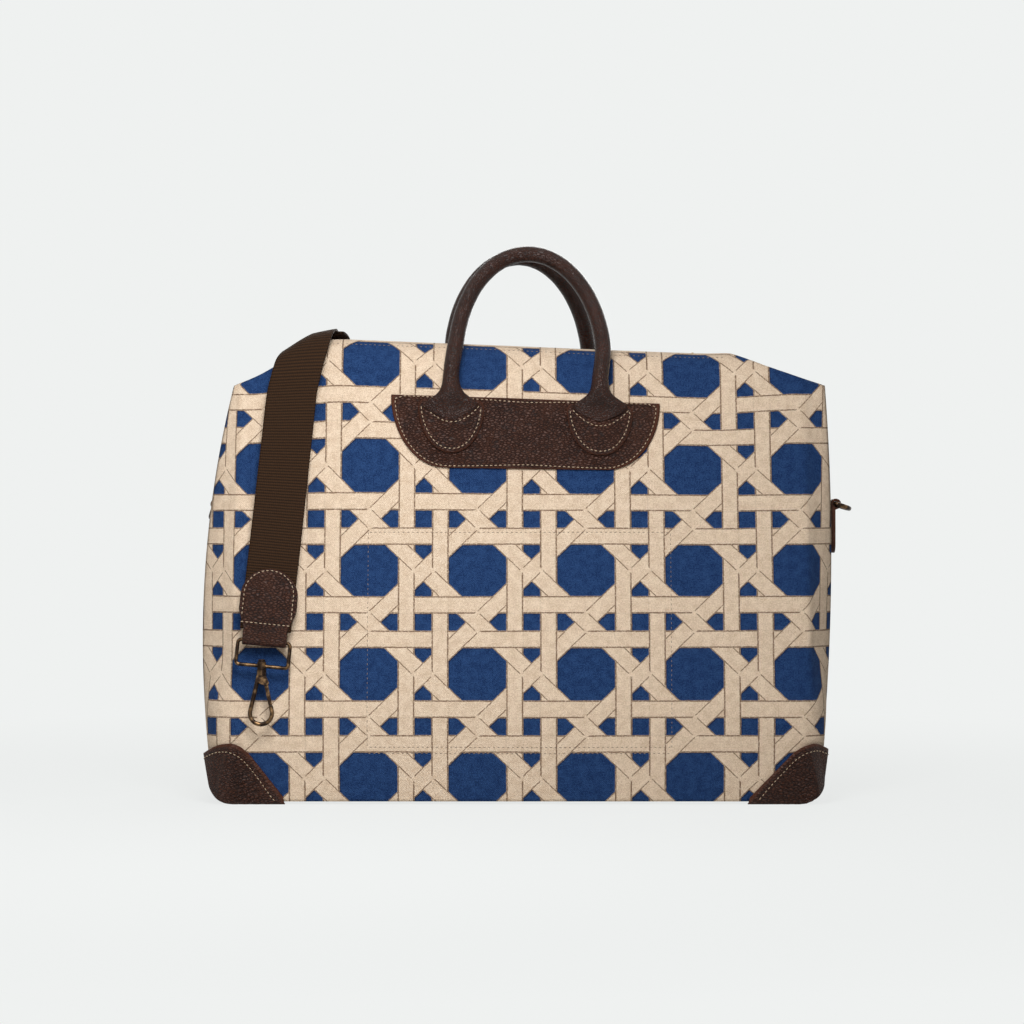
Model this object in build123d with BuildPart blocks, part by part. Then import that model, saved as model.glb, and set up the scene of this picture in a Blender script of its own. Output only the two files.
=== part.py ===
from build123d import *

import os
from functools import lru_cache
from math import asin, atan2, cos, degrees, radians, sin, sqrt

# A zip-top travel bag of woven cloth with leather trim and a clip-on webbing strap.
# Millimetres. The bag stands on z = 0, its front faces -Y, and +X is to the right of the front.

# Cloth body: the side section and the front outline
top_height = 364.0
belly_half_depth = 100.0
belly_height = 78.0
belly_radius = 480.0
wall_lean = 12.9
roll_radius = 34.0
left_half_width = 259.0
left_widest_height = 140.0
left_side_radius = 850.0
right_half_width = 252.0
right_widest_height = 220.0
right_side_radius = 1800.0
shoulder_drop = 26.0
roof_half_length = 172.0
base_corner_radius = 18.0
shoulder_radius = 9.0
roof_end_radius = 30.0
plan_corner_radius = 42.0
plan_margin = 2.0

# Seams between the cloth pieces
seam_base_half_width = 78.0
seam_shoulder_half_width = 42.0
zip_half_opening = 13.0

# Thicknesses and clearances
cloth_thickness = 3.0
leather_thickness = 2.0
lining_thickness = 0.8
board_thickness = 3.0
pocket_thickness = 1.0
tape_thickness = 1.0
seat_gap = 0.3
fold_ease = 0.1
overrun = 40.0

# Inner slip pocket, whose stitching shows on the front
pocket_half_width = 122.0
pocket_bottom = 46.0
pocket_top = 218.0

# Zip
zip_half_length = 164.0
tape_reach = 26.0
bead_width = 1.4
bead_height = 2.6
tooth_length = 3.0
tooth_width = 1.8
tooth_height = 2.4
tooth_pitch = 4.0
zip_centre_gap = 1.6
stop_length = 4.0
slider_length = 14.0
slider_plate = 1.4
slider_flange = 1.2
slider_start = 142.0
lug_width = 1.8
lug_hole_radius = 1.3
pull_pin_radius = 0.9
pull_width = 9.0
pull_length = 30.0
pull_thickness = 1.8

# Handles and the half-moon patches behind them
patch_half_width = 107.0
patch_bottom_half_width = 66.0
patch_top_drop = 39.0
patch_bottom_drop = 94.0
handle_across = 3.0
handle_radius = 6.6
handle_half_width = 58.5
handle_root_drop = 19.0
handle_leg = 12.0
handle_arch = 103.0
handle_top_depth = 20.0
bell_half_width = 23.0
bell_waist_half_width = 12.0
bell_waist_drop = 33.0
bell_foot_drop = 52.0
bell_foot_half_thickness = 2.2
shield_half_width = 24.0
shield_top_drop = 43.0
shield_bottom_drop = 83.0

# Corner caps
cap_front_reach = 62.0
cap_side_reach = 58.0
cap_corner_height = 60.0

# Strap
webbing_width = 41.0
webbing_thickness = 2.0
webbing_tuck = 8.0
front_end_inset = 53.0
front_end_height = 131.0
front_end_lean = 5.5
rear_end_height = 80.0
rear_end_lean = 9.0
tab_half_width = 22.9
tab_fold_rise = 10.0
tab_flare_rise = 24.0
tab_shoulder_rise = 36.0
tab_length = 58.0

# Strap clip: wire loop, swivelling hook and sprung gate
loop_wire = 3.0
loop_inner_width = 39.0
loop_depth = 20.0
loop_corner_radius = 3.0
loop_swing = 4.0
boss_radius = 3.6
boss_length = 6.4
stem_radius = 1.6
head_radius = 2.8
head_length = 1.6
collar_radius = 3.8
collar_length = 4.6
hook_wire_radius = 1.75
hook_bend_radius = 8.75
hook_bend_drop = 38.0
hook_start_across = 2.0
gate_pivot_across = 3.4
gate_pivot_drop = 13.4
gate_pin_radius = 0.9
gate_eye_radius = 2.2
gate_width = 3.0
gate_thickness = 2.4
gate_length = 19.0
cheek_thickness = 1.2

# Ring tabs and D-rings on the sides
ring_height = 241.0
ring_place = 40.0
ring_wire = 4.0
ring_half_width = 10.5
ring_depth = 12.0
right_ring_droop = 18.0
left_ring_droop = 68.0
ring_tab_half_width = 7.6
ring_tab_length = 40.0
ring_tab_end_radius = 7.0

# Worked-out places
base_height = seat_gap + leather_thickness
shoulder_height = top_height - shoulder_drop
front_end_across = front_end_inset - left_half_width
span = left_half_width + top_height
belly_centre = belly_half_depth - belly_radius
lean_sine = sin(radians(wall_lean))
lean_cosine = cos(radians(wall_lean))
wall_start_depth = belly_centre + belly_radius * lean_cosine
wall_start_height = belly_height + belly_radius * lean_sine
roll_centre_height = top_height - roll_radius
wall_run = (roll_centre_height - wall_start_height) * lean_sine
roll_centre_depth = wall_start_depth - (roll_radius + wall_run) / lean_cosine
side_shapes = {
    -1: (left_half_width, left_widest_height, left_side_radius),
    1: (right_half_width, right_widest_height, right_side_radius),
}
lining_inset = cloth_thickness + seat_gap + tape_thickness + seat_gap
pocket_inset = lining_inset + lining_thickness + seat_gap
board_bottom = base_height + cloth_thickness
lining_floor = board_bottom + board_thickness + seat_gap
zip_height = top_height - cloth_thickness - seat_gap - tape_thickness / 2
eye_radius = loop_wire / 2 + seat_gap
eye_outer = eye_radius + leather_thickness + 2 * fold_ease
strap_rise = seat_gap + eye_outer
tab_fold_half_width = (loop_inner_width + loop_wire) / 2 - loop_corner_radius - seat_gap


def wall_depth(height, inset):
    """Half depth of the bag at a height, on a face inset from the outer one."""
    if height < wall_start_height:
        reach = belly_radius - inset
        return belly_centre + sqrt(reach**2 - (height - belly_height) ** 2)
    if height < roll_centre_height + roll_radius * lean_sine:
        climb = (height - wall_start_height) * lean_sine
        return wall_start_depth - (inset + climb) / lean_cosine
    reach = roll_radius - inset
    return roll_centre_depth + sqrt(reach**2 - (height - roll_centre_height) ** 2)


def side_width(side, height):
    """Half width of the bag on one side at a height below its shoulders."""
    half_width, widest_height, radius = side_shapes[side]
    return half_width - radius + sqrt(radius**2 - (height - widest_height) ** 2)


def side_edge(side):
    """Upright edge of the front outline on one side, from the base to the shoulder."""
    half_width, widest_height, radius = side_shapes[side]
    low = degrees(asin((base_height - widest_height) / radius))
    high = degrees(asin((shoulder_height - widest_height) / radius))
    middle = (side * (half_width - radius), widest_height)
    return CenterArc(middle, radius, 90 - side * (90 - low), side * (high - low))


def side_section(inset, floor):
    """Closed section of the bag seen from its side."""
    reach = belly_radius - inset
    floor_angle = degrees(asin((floor - belly_height) / reach))
    roof = top_height - inset
    with BuildSketch(Plane.YZ) as section:
        with BuildLine():
            belly = CenterArc((belly_centre, belly_height), reach, floor_angle, wall_lean - floor_angle)
            roll_middle = (roll_centre_depth, roll_centre_height)
            roll = CenterArc(roll_middle, roll_radius - inset, wall_lean, 90 - wall_lean)
            Line(belly @ 1, roll @ 0)
            Polyline(roll @ 1, (0, roof), (0, floor), belly @ 0)
        make_face()
        mirror(about=Plane.YZ)
    return section.sketch


def front_outline(inset):
    """Closed outline of the bag seen from its front."""
    with BuildSketch(Plane.XZ) as outline:
        with BuildLine():
            right = side_edge(1)
            left = side_edge(-1)
            roof = ((roof_half_length, top_height), (-roof_half_length, top_height))
            Polyline(right @ 1, *roof, left @ 1)
            Line(left @ 0, right @ 0)
        make_face()
        fillet(outline.vertices().group_by(Axis.Y)[-1], roof_end_radius)
        fillet(outline.vertices().group_by(Axis.Y)[0], base_corner_radius)
        shoulder_band = (shoulder_height - seat_gap, shoulder_height + seat_gap)
        fillet(outline.vertices().filter_by_position(Axis.Y, *shoulder_band), shoulder_radius)
        if inset:
            offset(amount=-inset)
    return outline.sketch


@lru_cache(maxsize=None)
def cloth_form(inset, floor):
    """Solid form of the bag inside a face inset from its outer one."""
    plan_width = left_half_width + right_half_width + 2 * (plan_margin - inset)
    plan_depth = belly_half_depth + plan_margin - inset
    plan_middle = ((right_half_width - left_half_width) / 2, 0)
    with BuildPart() as form:
        extrude(side_section(inset, floor), amount=span, both=True)
        extrude(front_outline(inset), amount=span, both=True, mode=Mode.INTERSECT)
        with BuildSketch():
            with Locations(plan_middle):
                RectangleRounded(plan_width, 2 * plan_depth, plan_corner_radius - inset)
        extrude(amount=span, both=True, mode=Mode.INTERSECT)
    return form.part


def cloth_layer(inset, thickness):
    """Shell of the bag's form that starts at an inset and goes inwards."""
    with BuildPart() as shell:
        add(cloth_form(inset, base_height + inset))
        inner = inset + thickness
        add(cloth_form(inner, base_height + inner), mode=Mode.SUBTRACT)
    return shell.part


def gusset_wedge(shift):
    """Tapered region between the side seams, seen from the side."""
    with BuildSketch(Plane.YZ) as wedge:
        with BuildLine():
            half = Polyline(
                (0, -overrun),
                (seam_base_half_width - shift, -overrun),
                (seam_base_half_width - shift, 0),
                (seam_shoulder_half_width - shift, shoulder_height),
                (zip_half_opening - shift, top_height),
                (zip_half_opening - shift, top_height + overrun),
                (0, top_height + overrun),
            )
            Line(half @ 1, half @ 0)
        make_face()
        mirror(about=Plane.YZ)
    return wedge.sketch


def save(builder, label):
    """Label a finished piece and write its file."""
    builder.part.label = label
    export_step(builder.part, f"parts/{label}.step")


def save_mirrored(part, about, label):
    """Write the mirror image of a finished piece."""
    with BuildPart() as image:
        mirror(part, about=about)
    save(image, label)
    return image.part


os.makedirs("parts", exist_ok=True)

# Front and back panels: cloth from the base, over the roll, to the zip
cloth_shell = cloth_layer(0, cloth_thickness)
base_runs = {side: side_width(side, base_height) - base_corner_radius for side in side_shapes}
base_length = base_runs[-1] + base_runs[1]
base_middle = ((base_runs[1] - base_runs[-1]) / 2, 0)
floor_half_depth = wall_depth(base_height, cloth_thickness)
with BuildPart() as front_panel:
    add(cloth_shell)
    extrude(gusset_wedge(0), amount=span, both=True, mode=Mode.SUBTRACT)
    with BuildSketch():
        Rectangle(2 * span, 2 * floor_half_depth)
    extrude(amount=board_bottom, mode=Mode.SUBTRACT)
    split(bisect_by=Plane.XZ, keep=Keep.TOP)
save(front_panel, "front_panel")
save_mirrored(front_panel.part, Plane.XZ, "back_panel")

# Side gussets, tapering up to the ends of the zip
for side, gusset_name, half in ((-1, "left_gusset", Keep.BOTTOM), (1, "right_gusset", Keep.TOP)):
    with BuildPart() as gusset:
        add(cloth_shell)
        extrude(gusset_wedge(seat_gap), amount=span, both=True, mode=Mode.INTERSECT)
        with BuildSketch():
            Rectangle(2 * (base_runs[side] + seat_gap), 2 * span)
        extrude(amount=board_bottom, mode=Mode.SUBTRACT)
        with BuildSketch(Plane.XY.offset(shoulder_height)):
            Rectangle(2 * roof_half_length, 2 * span)
        extrude(amount=span, mode=Mode.SUBTRACT)
        split(bisect_by=Plane.YZ, keep=half)
    save(gusset, gusset_name)

# Base panel between the gussets, and the stiff board that lies on it
with BuildPart() as base_panel:
    with BuildSketch(Plane.XY.offset(base_height)):
        with Locations(base_middle):
            Rectangle(base_length, 2 * (floor_half_depth - seat_gap))
    extrude(amount=cloth_thickness)
save(base_panel, "base_panel")

with BuildPart() as base_board:
    with BuildSketch(Plane.XY.offset(board_bottom)):
        board_half_depth = floor_half_depth - cloth_thickness
        with Locations(base_middle):
            RectangleRounded(base_length, 2 * board_half_depth, base_corner_radius)
    extrude(amount=board_thickness)
save(base_board, "base_board")

# Lining: one inner bag, open at the zip
lining_inner = lining_inset + lining_thickness
with BuildPart() as lining:
    add(cloth_form(lining_inset, lining_floor))
    add(cloth_form(lining_inner, lining_floor + lining_thickness), mode=Mode.SUBTRACT)
    with BuildSketch(Plane.XY.offset(shoulder_height)):
        Rectangle(2 * roof_half_length, 2 * zip_half_opening)
    extrude(amount=span, mode=Mode.SUBTRACT)
save(lining, "lining")

with BuildPart() as inner_pocket:
    add(cloth_layer(pocket_inset, pocket_thickness))
    with BuildSketch(Plane.XZ):
        pocket_low = (-pocket_half_width, pocket_bottom)
        with Locations(pocket_low):
            Rectangle(2 * pocket_half_width, pocket_top - pocket_bottom, align=Align.MIN)
    extrude(amount=span, mode=Mode.INTERSECT)
save(inner_pocket, "inner_pocket")

# Zip tapes under the panel edges
tape_layer = cloth_layer(cloth_thickness + seat_gap, tape_thickness)
bead_start = zip_centre_gap / 2 + tooth_length
bead_end = bead_start + bead_width
with BuildPart() as zip_tape_front:
    add(tape_layer)
    with BuildSketch(Plane.XY.offset(shoulder_height)):
        with Locations((0, -bead_end)):
            Rectangle(2 * zip_half_length, tape_reach, align=(Align.CENTER, Align.MAX))
    extrude(amount=span, mode=Mode.INTERSECT)
save(zip_tape_front, "zip_tape_front")
save_mirrored(zip_tape_front.part, Plane.XZ, "zip_tape_back")

# Zip teeth: a row on each tape's bead, the back row half a pitch along
tooth_count = int((2 * zip_half_length - 2 * stop_length) / tooth_pitch) - 1
for side, row_name in ((-1, "zip_teeth_front"), (1, "zip_teeth_back")):
    with BuildPart() as zip_teeth:
        with BuildSketch(Plane.XY.offset(zip_height)):
            with Locations((0, side * (bead_start + bead_width / 2))):
                Rectangle(2 * zip_half_length, bead_width)
        extrude(amount=bead_height / 2, both=True)
        with BuildSketch(Plane.XY.offset(zip_height)):
            with Locations((side * tooth_pitch / 4, side * (bead_start - tooth_length / 2))):
                with GridLocations(tooth_pitch, tooth_pitch, tooth_count, 1):
                    Rectangle(tooth_width, tooth_length)
        extrude(amount=tooth_height / 2, both=True)
    save(zip_teeth, row_name)

# End stops, clamped over both beads
for side, stop_name in ((-1, "zip_stop_left"), (1, "zip_stop_right")):
    with BuildPart() as zip_stop:
        stop_middle = side * (zip_half_length + seat_gap + stop_length / 2)
        with BuildSketch(Plane.XY.offset(zip_height)):
            with Locations((stop_middle, 0)):
                RectangleRounded(stop_length, 2 * bead_end, stop_length / 4)
        extrude(amount=bead_height / 2, both=True)
    save(zip_stop, stop_name)

# Zip slider: two plates joined by a thin post, flanges round the beads, a lug on top
slider_half_width = bead_end + seat_gap + slider_flange
slider_inside = bead_height / 2 + seat_gap
slider_top = slider_inside + slider_plate
flange_inside = tape_thickness / 2 + seat_gap
lug_radius = lug_hole_radius + slider_flange
lug_centre = slider_top + lug_hole_radius
slider_plane = Plane((slider_start, 0, zip_height))
with BuildPart() as zip_slider:
    for way in (1, -1):
        with BuildSketch(slider_plane.offset(way * slider_inside)):
            RectangleRounded(slider_length, 2 * slider_half_width, slider_half_width / 2)
        extrude(amount=way * slider_plate)
        with BuildSketch(slider_plane.offset(way * flange_inside)):
            for flank in (1, -1):
                with Locations((0, flank * (slider_half_width - slider_flange / 2))):
                    Rectangle(slider_length / 2, slider_flange)
        extrude(amount=way * (slider_inside + slider_plate / 2 - flange_inside))
    with BuildSketch(slider_plane):
        Rectangle(slider_length / 2, zip_centre_gap - 2 * seat_gap)
    extrude(amount=slider_inside + slider_plate / 2, both=True)
    with BuildSketch(Plane((slider_start, 0, zip_height), x_dir=(1, 0, 0), z_dir=(0, -1, 0))):
        with Locations((0, lug_centre)):
            Circle(lug_radius)
            Rectangle(2 * lug_radius, lug_centre - slider_inside, align=(Align.CENTER, Align.MAX))
            Circle(lug_hole_radius, mode=Mode.SUBTRACT)
    extrude(amount=lug_width / 2, both=True)
save(zip_slider, "zip_slider")

# Zip pull: a flat tag whose cross pin runs through the lug
pull_plane = Plane((slider_start, 0, zip_height + lug_centre))
fork_half_width = lug_width / 2 + seat_gap
with BuildPart() as zip_pull:
    with BuildSketch(pull_plane):
        with Locations((-pull_pin_radius, 0)):
            Rectangle(pull_length - pull_width / 2, pull_width, align=(Align.MIN, Align.CENTER))
        with Locations((pull_length - pull_width / 2 - pull_pin_radius, 0)):
            Circle(pull_width / 2)
            Circle(pull_width / 6, mode=Mode.SUBTRACT)
        Rectangle(2 * (lug_radius + seat_gap), 2 * fork_half_width, mode=Mode.SUBTRACT)
    extrude(amount=pull_thickness / 2, both=True)
    with BuildSketch(pull_plane.rotated((90, 0, 0))):
        Circle(pull_pin_radius)
    extrude(amount=pull_width / 4, both=True)
save(zip_pull, "zip_pull")

# Half-moon patches that carry the handles
patch_layer = cloth_layer(-seat_gap - leather_thickness, leather_thickness)
patch_top = top_height - patch_top_drop
patch_bottom = top_height - patch_bottom_drop
handle_face = Plane((handle_across, 0, 0), x_dir=(1, 0, 0), z_dir=(0, -1, 0))
with BuildPart() as front_handle_patch:
    add(patch_layer)
    with BuildSketch(handle_face):
        with BuildLine():
            bend = sin(radians(45))
            patch_drop = patch_top - patch_bottom
            end_run = patch_half_width - patch_bottom_half_width
            bend_across = patch_bottom_half_width + end_run * bend
            bend_height = patch_top - patch_drop * bend
            top_edge = Line((-patch_half_width, patch_top), (patch_half_width, patch_top))
            right_foot = (patch_bottom_half_width, patch_bottom)
            left_foot = (-patch_bottom_half_width, patch_bottom)
            ThreePointArc(top_edge @ 1, (bend_across, bend_height), right_foot)
            Line(right_foot, left_foot)
            ThreePointArc(left_foot, (-bend_across, bend_height), top_edge @ 0)
        make_face()
    extrude(amount=span, mode=Mode.INTERSECT)
save(front_handle_patch, "front_handle_patch")
save_mirrored(front_handle_patch.part, Plane.XZ, "back_handle_patch")

# Rolled handles: a round arch whose feet flatten into bells on stitched shields
shield_rise = 2 * (seat_gap + leather_thickness)
shield_top = top_height - shield_top_drop
shield_bottom = top_height - shield_bottom_drop
bell_waist_height = top_height - bell_waist_drop
bell_foot_height = top_height - bell_foot_drop
handle_root_height = top_height - handle_root_drop
handle_root_depth = wall_depth(handle_root_height, 0) + shield_rise + handle_radius
handle_rise = Vector(0, handle_root_depth - handle_top_depth, handle_arch)
leg_way = handle_rise.normalized()
crown_rise = handle_rise.length - handle_leg
handle_origin = (handle_across, -handle_root_depth, handle_root_height)
handle_plane = Plane(handle_origin, x_dir=(1, 0, 0), z_dir=(0, -leg_way.Z, leg_way.Y))
shield_layer = cloth_layer(-shield_rise, leather_thickness)
waist_half_thickness = handle_radius - seat_gap
waist_depth = wall_depth(bell_waist_height, 0) + shield_rise + waist_half_thickness
foot_depth = wall_depth(bell_foot_height, 0) + shield_rise
with BuildPart() as front_shields:
    add(shield_layer)
    with BuildSketch(handle_face):
        for side in (-1, 1):
            with BuildLine():
                middle = side * handle_half_width
                shield_drop = shield_top - shield_bottom
                near = (middle - shield_half_width, shield_top)
                edge = Line(near, (middle + shield_half_width, shield_top))
                tip = (middle, shield_bottom)
                bulge_height = shield_top - shield_drop * sin(radians(45))
                bulge = shield_half_width * sin(radians(45))
                ThreePointArc(edge @ 1, (middle + bulge, bulge_height), tip)
                ThreePointArc(tip, (middle - bulge, bulge_height), edge @ 0)
            make_face()
    extrude(amount=span, mode=Mode.INTERSECT)

with BuildPart() as front_handle:
    with BuildLine(handle_plane):
        left_leg = Line((-handle_half_width, 0), (-handle_half_width, handle_leg))
        EllipticalCenterArc((0, handle_leg), handle_half_width, crown_rise, start_angle=0, arc_size=180)
        Line((handle_half_width, handle_leg), (handle_half_width, 0))
    with BuildSketch(Plane(left_leg @ 0, x_dir=(1, 0, 0), z_dir=leg_way)):
        Circle(handle_radius)
    sweep()
    for side in (-1, 1):
        middle = handle_across + side * handle_half_width
        with BuildSketch(Plane((middle, -handle_root_depth, handle_root_height), (1, 0, 0), leg_way)):
            Circle(handle_radius)
        with BuildSketch(Plane((middle, -waist_depth, bell_waist_height), (1, 0, 0), leg_way)):
            Ellipse(bell_waist_half_width, waist_half_thickness)
        foot = (middle, -foot_depth, bell_foot_height)
        with BuildSketch(Plane(foot, (1, 0, 0), (0, lean_sine, lean_cosine))):
            Ellipse(bell_half_width, bell_foot_half_thickness)
        loft()
    add(front_shields.part)
save(front_handle, "front_handle")
save_mirrored(front_handle.part, Plane.XZ, "back_handle")

# Corner caps: leather folded round each lower corner and under the base
cap_depth = wall_depth(base_height, 0) + base_height
for side, side_name in ((-1, "left"), (1, "right")):
    cap_across = side_width(side, base_height) + base_height - cap_front_reach
    cap_normal = Vector(side / cap_front_reach, 1 / cap_side_reach, -1 / cap_corner_height)
    with BuildPart() as corner_cap:
        add(patch_layer)
        with BuildSketch(Plane((side * cap_across, cap_depth, 0), z_dir=cap_normal)):
            Rectangle(2 * span, 2 * span)
        extrude(amount=span, mode=Mode.INTERSECT)
    save(corner_cap, f"back_{side_name}_cap")
    save_mirrored(corner_cap.part, Plane.XZ, f"front_{side_name}_cap")


def facing_plane(across, height, lean):
    """Upright plane seen from the front, leaning with the strap."""
    turn = radians(lean)
    return Plane((across, 0, height), x_dir=(cos(turn), 0, -sin(turn)), z_dir=(0, -1, 0))


def bar_plane(across, height, lean):
    """Plane along the strap at the bar of its clip, facing away from the bag."""
    turn = radians(lean)
    reach = belly_radius + strap_rise
    slope = asin((height - belly_height) / reach)
    depth = belly_centre + reach * cos(slope)
    along = (cos(turn), -sin(turn) * sin(slope), -sin(turn) * cos(slope))
    return Plane((across, -depth, height), x_dir=along, z_dir=(0, -cos(slope), sin(slope)))


# Strap webbing: up the front, over the roof and down the back
crest_height = top_height + strap_rise
front_climb = crest_height - front_end_height
crest_across = front_end_across + front_climb * sin(radians(front_end_lean)) / cos(radians(front_end_lean))
rear_fall = crest_height - rear_end_height
rear_end_across = crest_across + rear_fall * sin(radians(rear_end_lean)) / cos(radians(rear_end_lean))
webbing_rise = strap_rise - webbing_thickness / 2
webbing_layer = cloth_layer(-webbing_rise - webbing_thickness, webbing_thickness)
webbing_runs = (
    (front_end_across, front_end_height, front_end_lean, 1),
    (rear_end_across, rear_end_height, -rear_end_lean, -1),
)
with BuildPart() as webbing_bands:
    for across, height, lean, way in webbing_runs:
        with BuildSketch(facing_plane(across, height, lean)):
            with Locations((0, webbing_tuck)):
                Rectangle(webbing_width, top_height, align=(Align.CENTER, Align.MIN))
        extrude(amount=way * span)

with BuildPart() as strap_webbing:
    add(webbing_layer)
    add(webbing_bands.part, mode=Mode.INTERSECT)
save(strap_webbing, "strap_webbing")


def strap_tab(across, height, lean):
    """Leather folded over the end of the webbing, with an eye for the clip's bar."""
    bar = bar_plane(across, height, lean)
    leaf_inset = eye_radius + fold_ease
    with BuildPart() as tab:
        add(cloth_layer(leaf_inset - strap_rise, leather_thickness))
        add(cloth_layer(-leaf_inset - leather_thickness - strap_rise, leather_thickness))
        with BuildSketch(facing_plane(across, height, lean)):
            with BuildLine():
                side = Polyline(
                    (tab_fold_half_width, 0),
                    (tab_fold_half_width, tab_fold_rise),
                    (tab_half_width, tab_flare_rise),
                    (tab_half_width, tab_shoulder_rise),
                )
                far = Polyline(
                    (-tab_half_width, tab_shoulder_rise),
                    (-tab_half_width, tab_flare_rise),
                    (-tab_fold_half_width, tab_fold_rise),
                    (-tab_fold_half_width, 0),
                )
                ThreePointArc(side @ 1, (0, tab_length), far @ 0)
                Line(far @ 1, side @ 0)
            make_face()
        extrude(amount=span, mode=Mode.INTERSECT)
        with BuildSketch(Plane(bar.origin, x_dir=bar.z_dir, z_dir=bar.x_dir)):
            Circle(eye_outer)
        extrude(amount=tab_fold_half_width, both=True)
        with BuildSketch(Plane(bar.origin, x_dir=bar.z_dir, z_dir=bar.x_dir)):
            Circle(eye_radius)
        extrude(amount=tab_fold_half_width + seat_gap, both=True, mode=Mode.SUBTRACT)
    return tab


def tangent_point(start, centre, radius, turn):
    """Point where a line from start touches a circle, on its left or right side."""
    gap = Vector(*centre) - Vector(*start)
    reach = sqrt(gap.length**2 - radius**2)
    angle = atan2(gap.Y, gap.X) + turn * asin(radius / gap.length)
    return (start[0] + reach * cos(angle), start[1] + reach * sin(angle))


def turned(plane, way, angle):
    """Copy of a plane turned about a line through its origin."""
    line = Axis(plane.origin, way)
    return Plane(plane.origin, x_dir=plane.x_dir.rotate(line, angle), z_dir=plane.z_dir.rotate(line, angle))


def hang_planes(across, height, lean):
    """Planes of the hanging loop and of the hook below it."""
    bar = bar_plane(across, height, lean)
    loop = turned(bar, bar.x_dir, -loop_swing)
    below = loop.from_local_coords((0, -loop_depth, 0))
    hook = turned(Plane(below, x_dir=loop.x_dir, z_dir=loop.z_dir), loop.z_dir, lean)
    return loop, hook


def clip_loop(across, height, lean):
    """Wire loop with a drilled boss on its lower bar."""
    loop, hook = hang_planes(across, height, lean)
    half = (loop_inner_width + loop_wire) / 2
    with BuildPart() as piece:
        with BuildLine(loop):
            corners = ((-half, 0), (half, 0), (half, -loop_depth), (-half, -loop_depth))
            wire = FilletPolyline(*corners, radius=loop_corner_radius, close=True)
        with BuildSketch(Plane(wire @ 0, z_dir=wire % 0)):
            Circle(loop_wire / 2)
        sweep()
        with BuildSketch(Plane(hook.origin, x_dir=hook.x_dir, z_dir=hook.y_dir)):
            Circle(boss_radius)
        extrude(amount=boss_length / 2, both=True)
        with BuildSketch(Plane(hook.origin, x_dir=hook.x_dir, z_dir=hook.y_dir)):
            Circle(stem_radius + seat_gap)
        extrude(amount=boss_length, both=True, mode=Mode.SUBTRACT)
    return piece


def clip_hook(across, height, lean):
    """Hook with a riveted stem, a collar, a bent wire and a fork for the gate."""
    hook = hang_planes(across, height, lean)[1]
    boss_face = boss_length / 2 + seat_gap
    collar_end = -boss_face - collar_length
    bend = (0, -hook_bend_drop)
    start = (-hook_start_across, collar_end + hook_wire_radius)
    pivot = (gate_pivot_across, -gate_pivot_drop)
    left = tangent_point(start, bend, hook_bend_radius, -1)
    right = tangent_point(pivot, bend, hook_bend_radius, 1)
    aim = (Vector(*right) - Vector(*pivot)).normalized()
    nose_reach = gate_length + seat_gap
    nose = (pivot[0] + aim.X * nose_reach, pivot[1] + aim.Y * nose_reach)
    slot_half = gate_thickness / 2 + seat_gap
    fork_half = slot_half + cheek_thickness
    root = gate_eye_radius + seat_gap
    with BuildPart() as piece:
        with BuildSketch(hook):
            with BuildLine():
                Polyline(
                    (0, boss_face + head_length),
                    (head_radius, boss_face + head_length),
                    (head_radius, boss_face),
                    (stem_radius, boss_face),
                    (stem_radius, -boss_face),
                    (collar_radius, -boss_face),
                    (collar_radius, collar_end),
                    (0, collar_end),
                    close=True,
                )
            make_face()
        revolve(axis=Axis(hook.origin, hook.y_dir))
        with BuildSketch(hook):
            with Locations(pivot):
                Circle(gate_eye_radius + seat_gap)
            with BuildLine():
                Polyline(
                    (-hook_start_across - hook_wire_radius, collar_end),
                    (collar_radius, collar_end),
                    (pivot[0] + root, pivot[1]),
                    (pivot[0], pivot[1] - root),
                    (-hook_start_across - hook_wire_radius, pivot[1]),
                    close=True,
                )
            make_face()
        extrude(amount=fork_half, both=True)
        with BuildSketch(hook):
            with Locations(pivot):
                Circle(root)
            with Locations((pivot[0] - root, pivot[1])):
                Rectangle(overrun, overrun, align=(Align.MIN, Align.MAX))
        extrude(amount=slot_half, both=True, mode=Mode.SUBTRACT)
        with BuildSketch(hook):
            with Locations(pivot):
                Circle(gate_pin_radius)
        extrude(amount=fork_half, both=True)
        with BuildLine(hook):
            shank = Line(start, left)
            bottom = (0, -hook_bend_drop - hook_bend_radius)
            ThreePointArc(left, bottom, right)
            Line(right, nose)
        with BuildSketch(Plane(shank @ 0, z_dir=shank % 0)):
            Circle(hook_wire_radius)
        sweep()
    return piece


def clip_gate(across, height, lean):
    """Gate that swings inwards about the fork's pin."""
    hook = hang_planes(across, height, lean)[1]
    bend = (0, -hook_bend_drop)
    pivot = (gate_pivot_across, -gate_pivot_drop)
    right = tangent_point(pivot, bend, hook_bend_radius, 1)
    aim = Vector(*right) - Vector(*pivot)
    with BuildPart() as piece:
        gate_angle = degrees(atan2(aim.Y, aim.X))
        pivot_plane = Plane(hook.from_local_coords(pivot), hook.x_dir, hook.z_dir)
        gate_plane = turned(pivot_plane, hook.z_dir, gate_angle)
        with BuildSketch(gate_plane):
            Circle(gate_eye_radius)
            Rectangle(gate_length, gate_width, align=(Align.MIN, Align.CENTER))
            Circle(gate_pin_radius + seat_gap, mode=Mode.SUBTRACT)
        extrude(amount=gate_thickness / 2, both=True)
    return piece


# Both ends of the strap carry the same tab and clip, the rear one mirrored to the back
strap_pieces = (
    ("strap_tab", strap_tab),
    ("clip_loop", clip_loop),
    ("clip_hook", clip_hook),
    ("clip_gate", clip_gate),
)
for piece_name, make_piece in strap_pieces:
    front_piece = make_piece(front_end_across, front_end_height, front_end_lean)
    save(front_piece, f"front_{piece_name}")
    rear_piece = make_piece(rear_end_across, rear_end_height, -rear_end_lean)
    save_mirrored(rear_piece.part, Plane.XZ, f"rear_{piece_name}")

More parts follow.
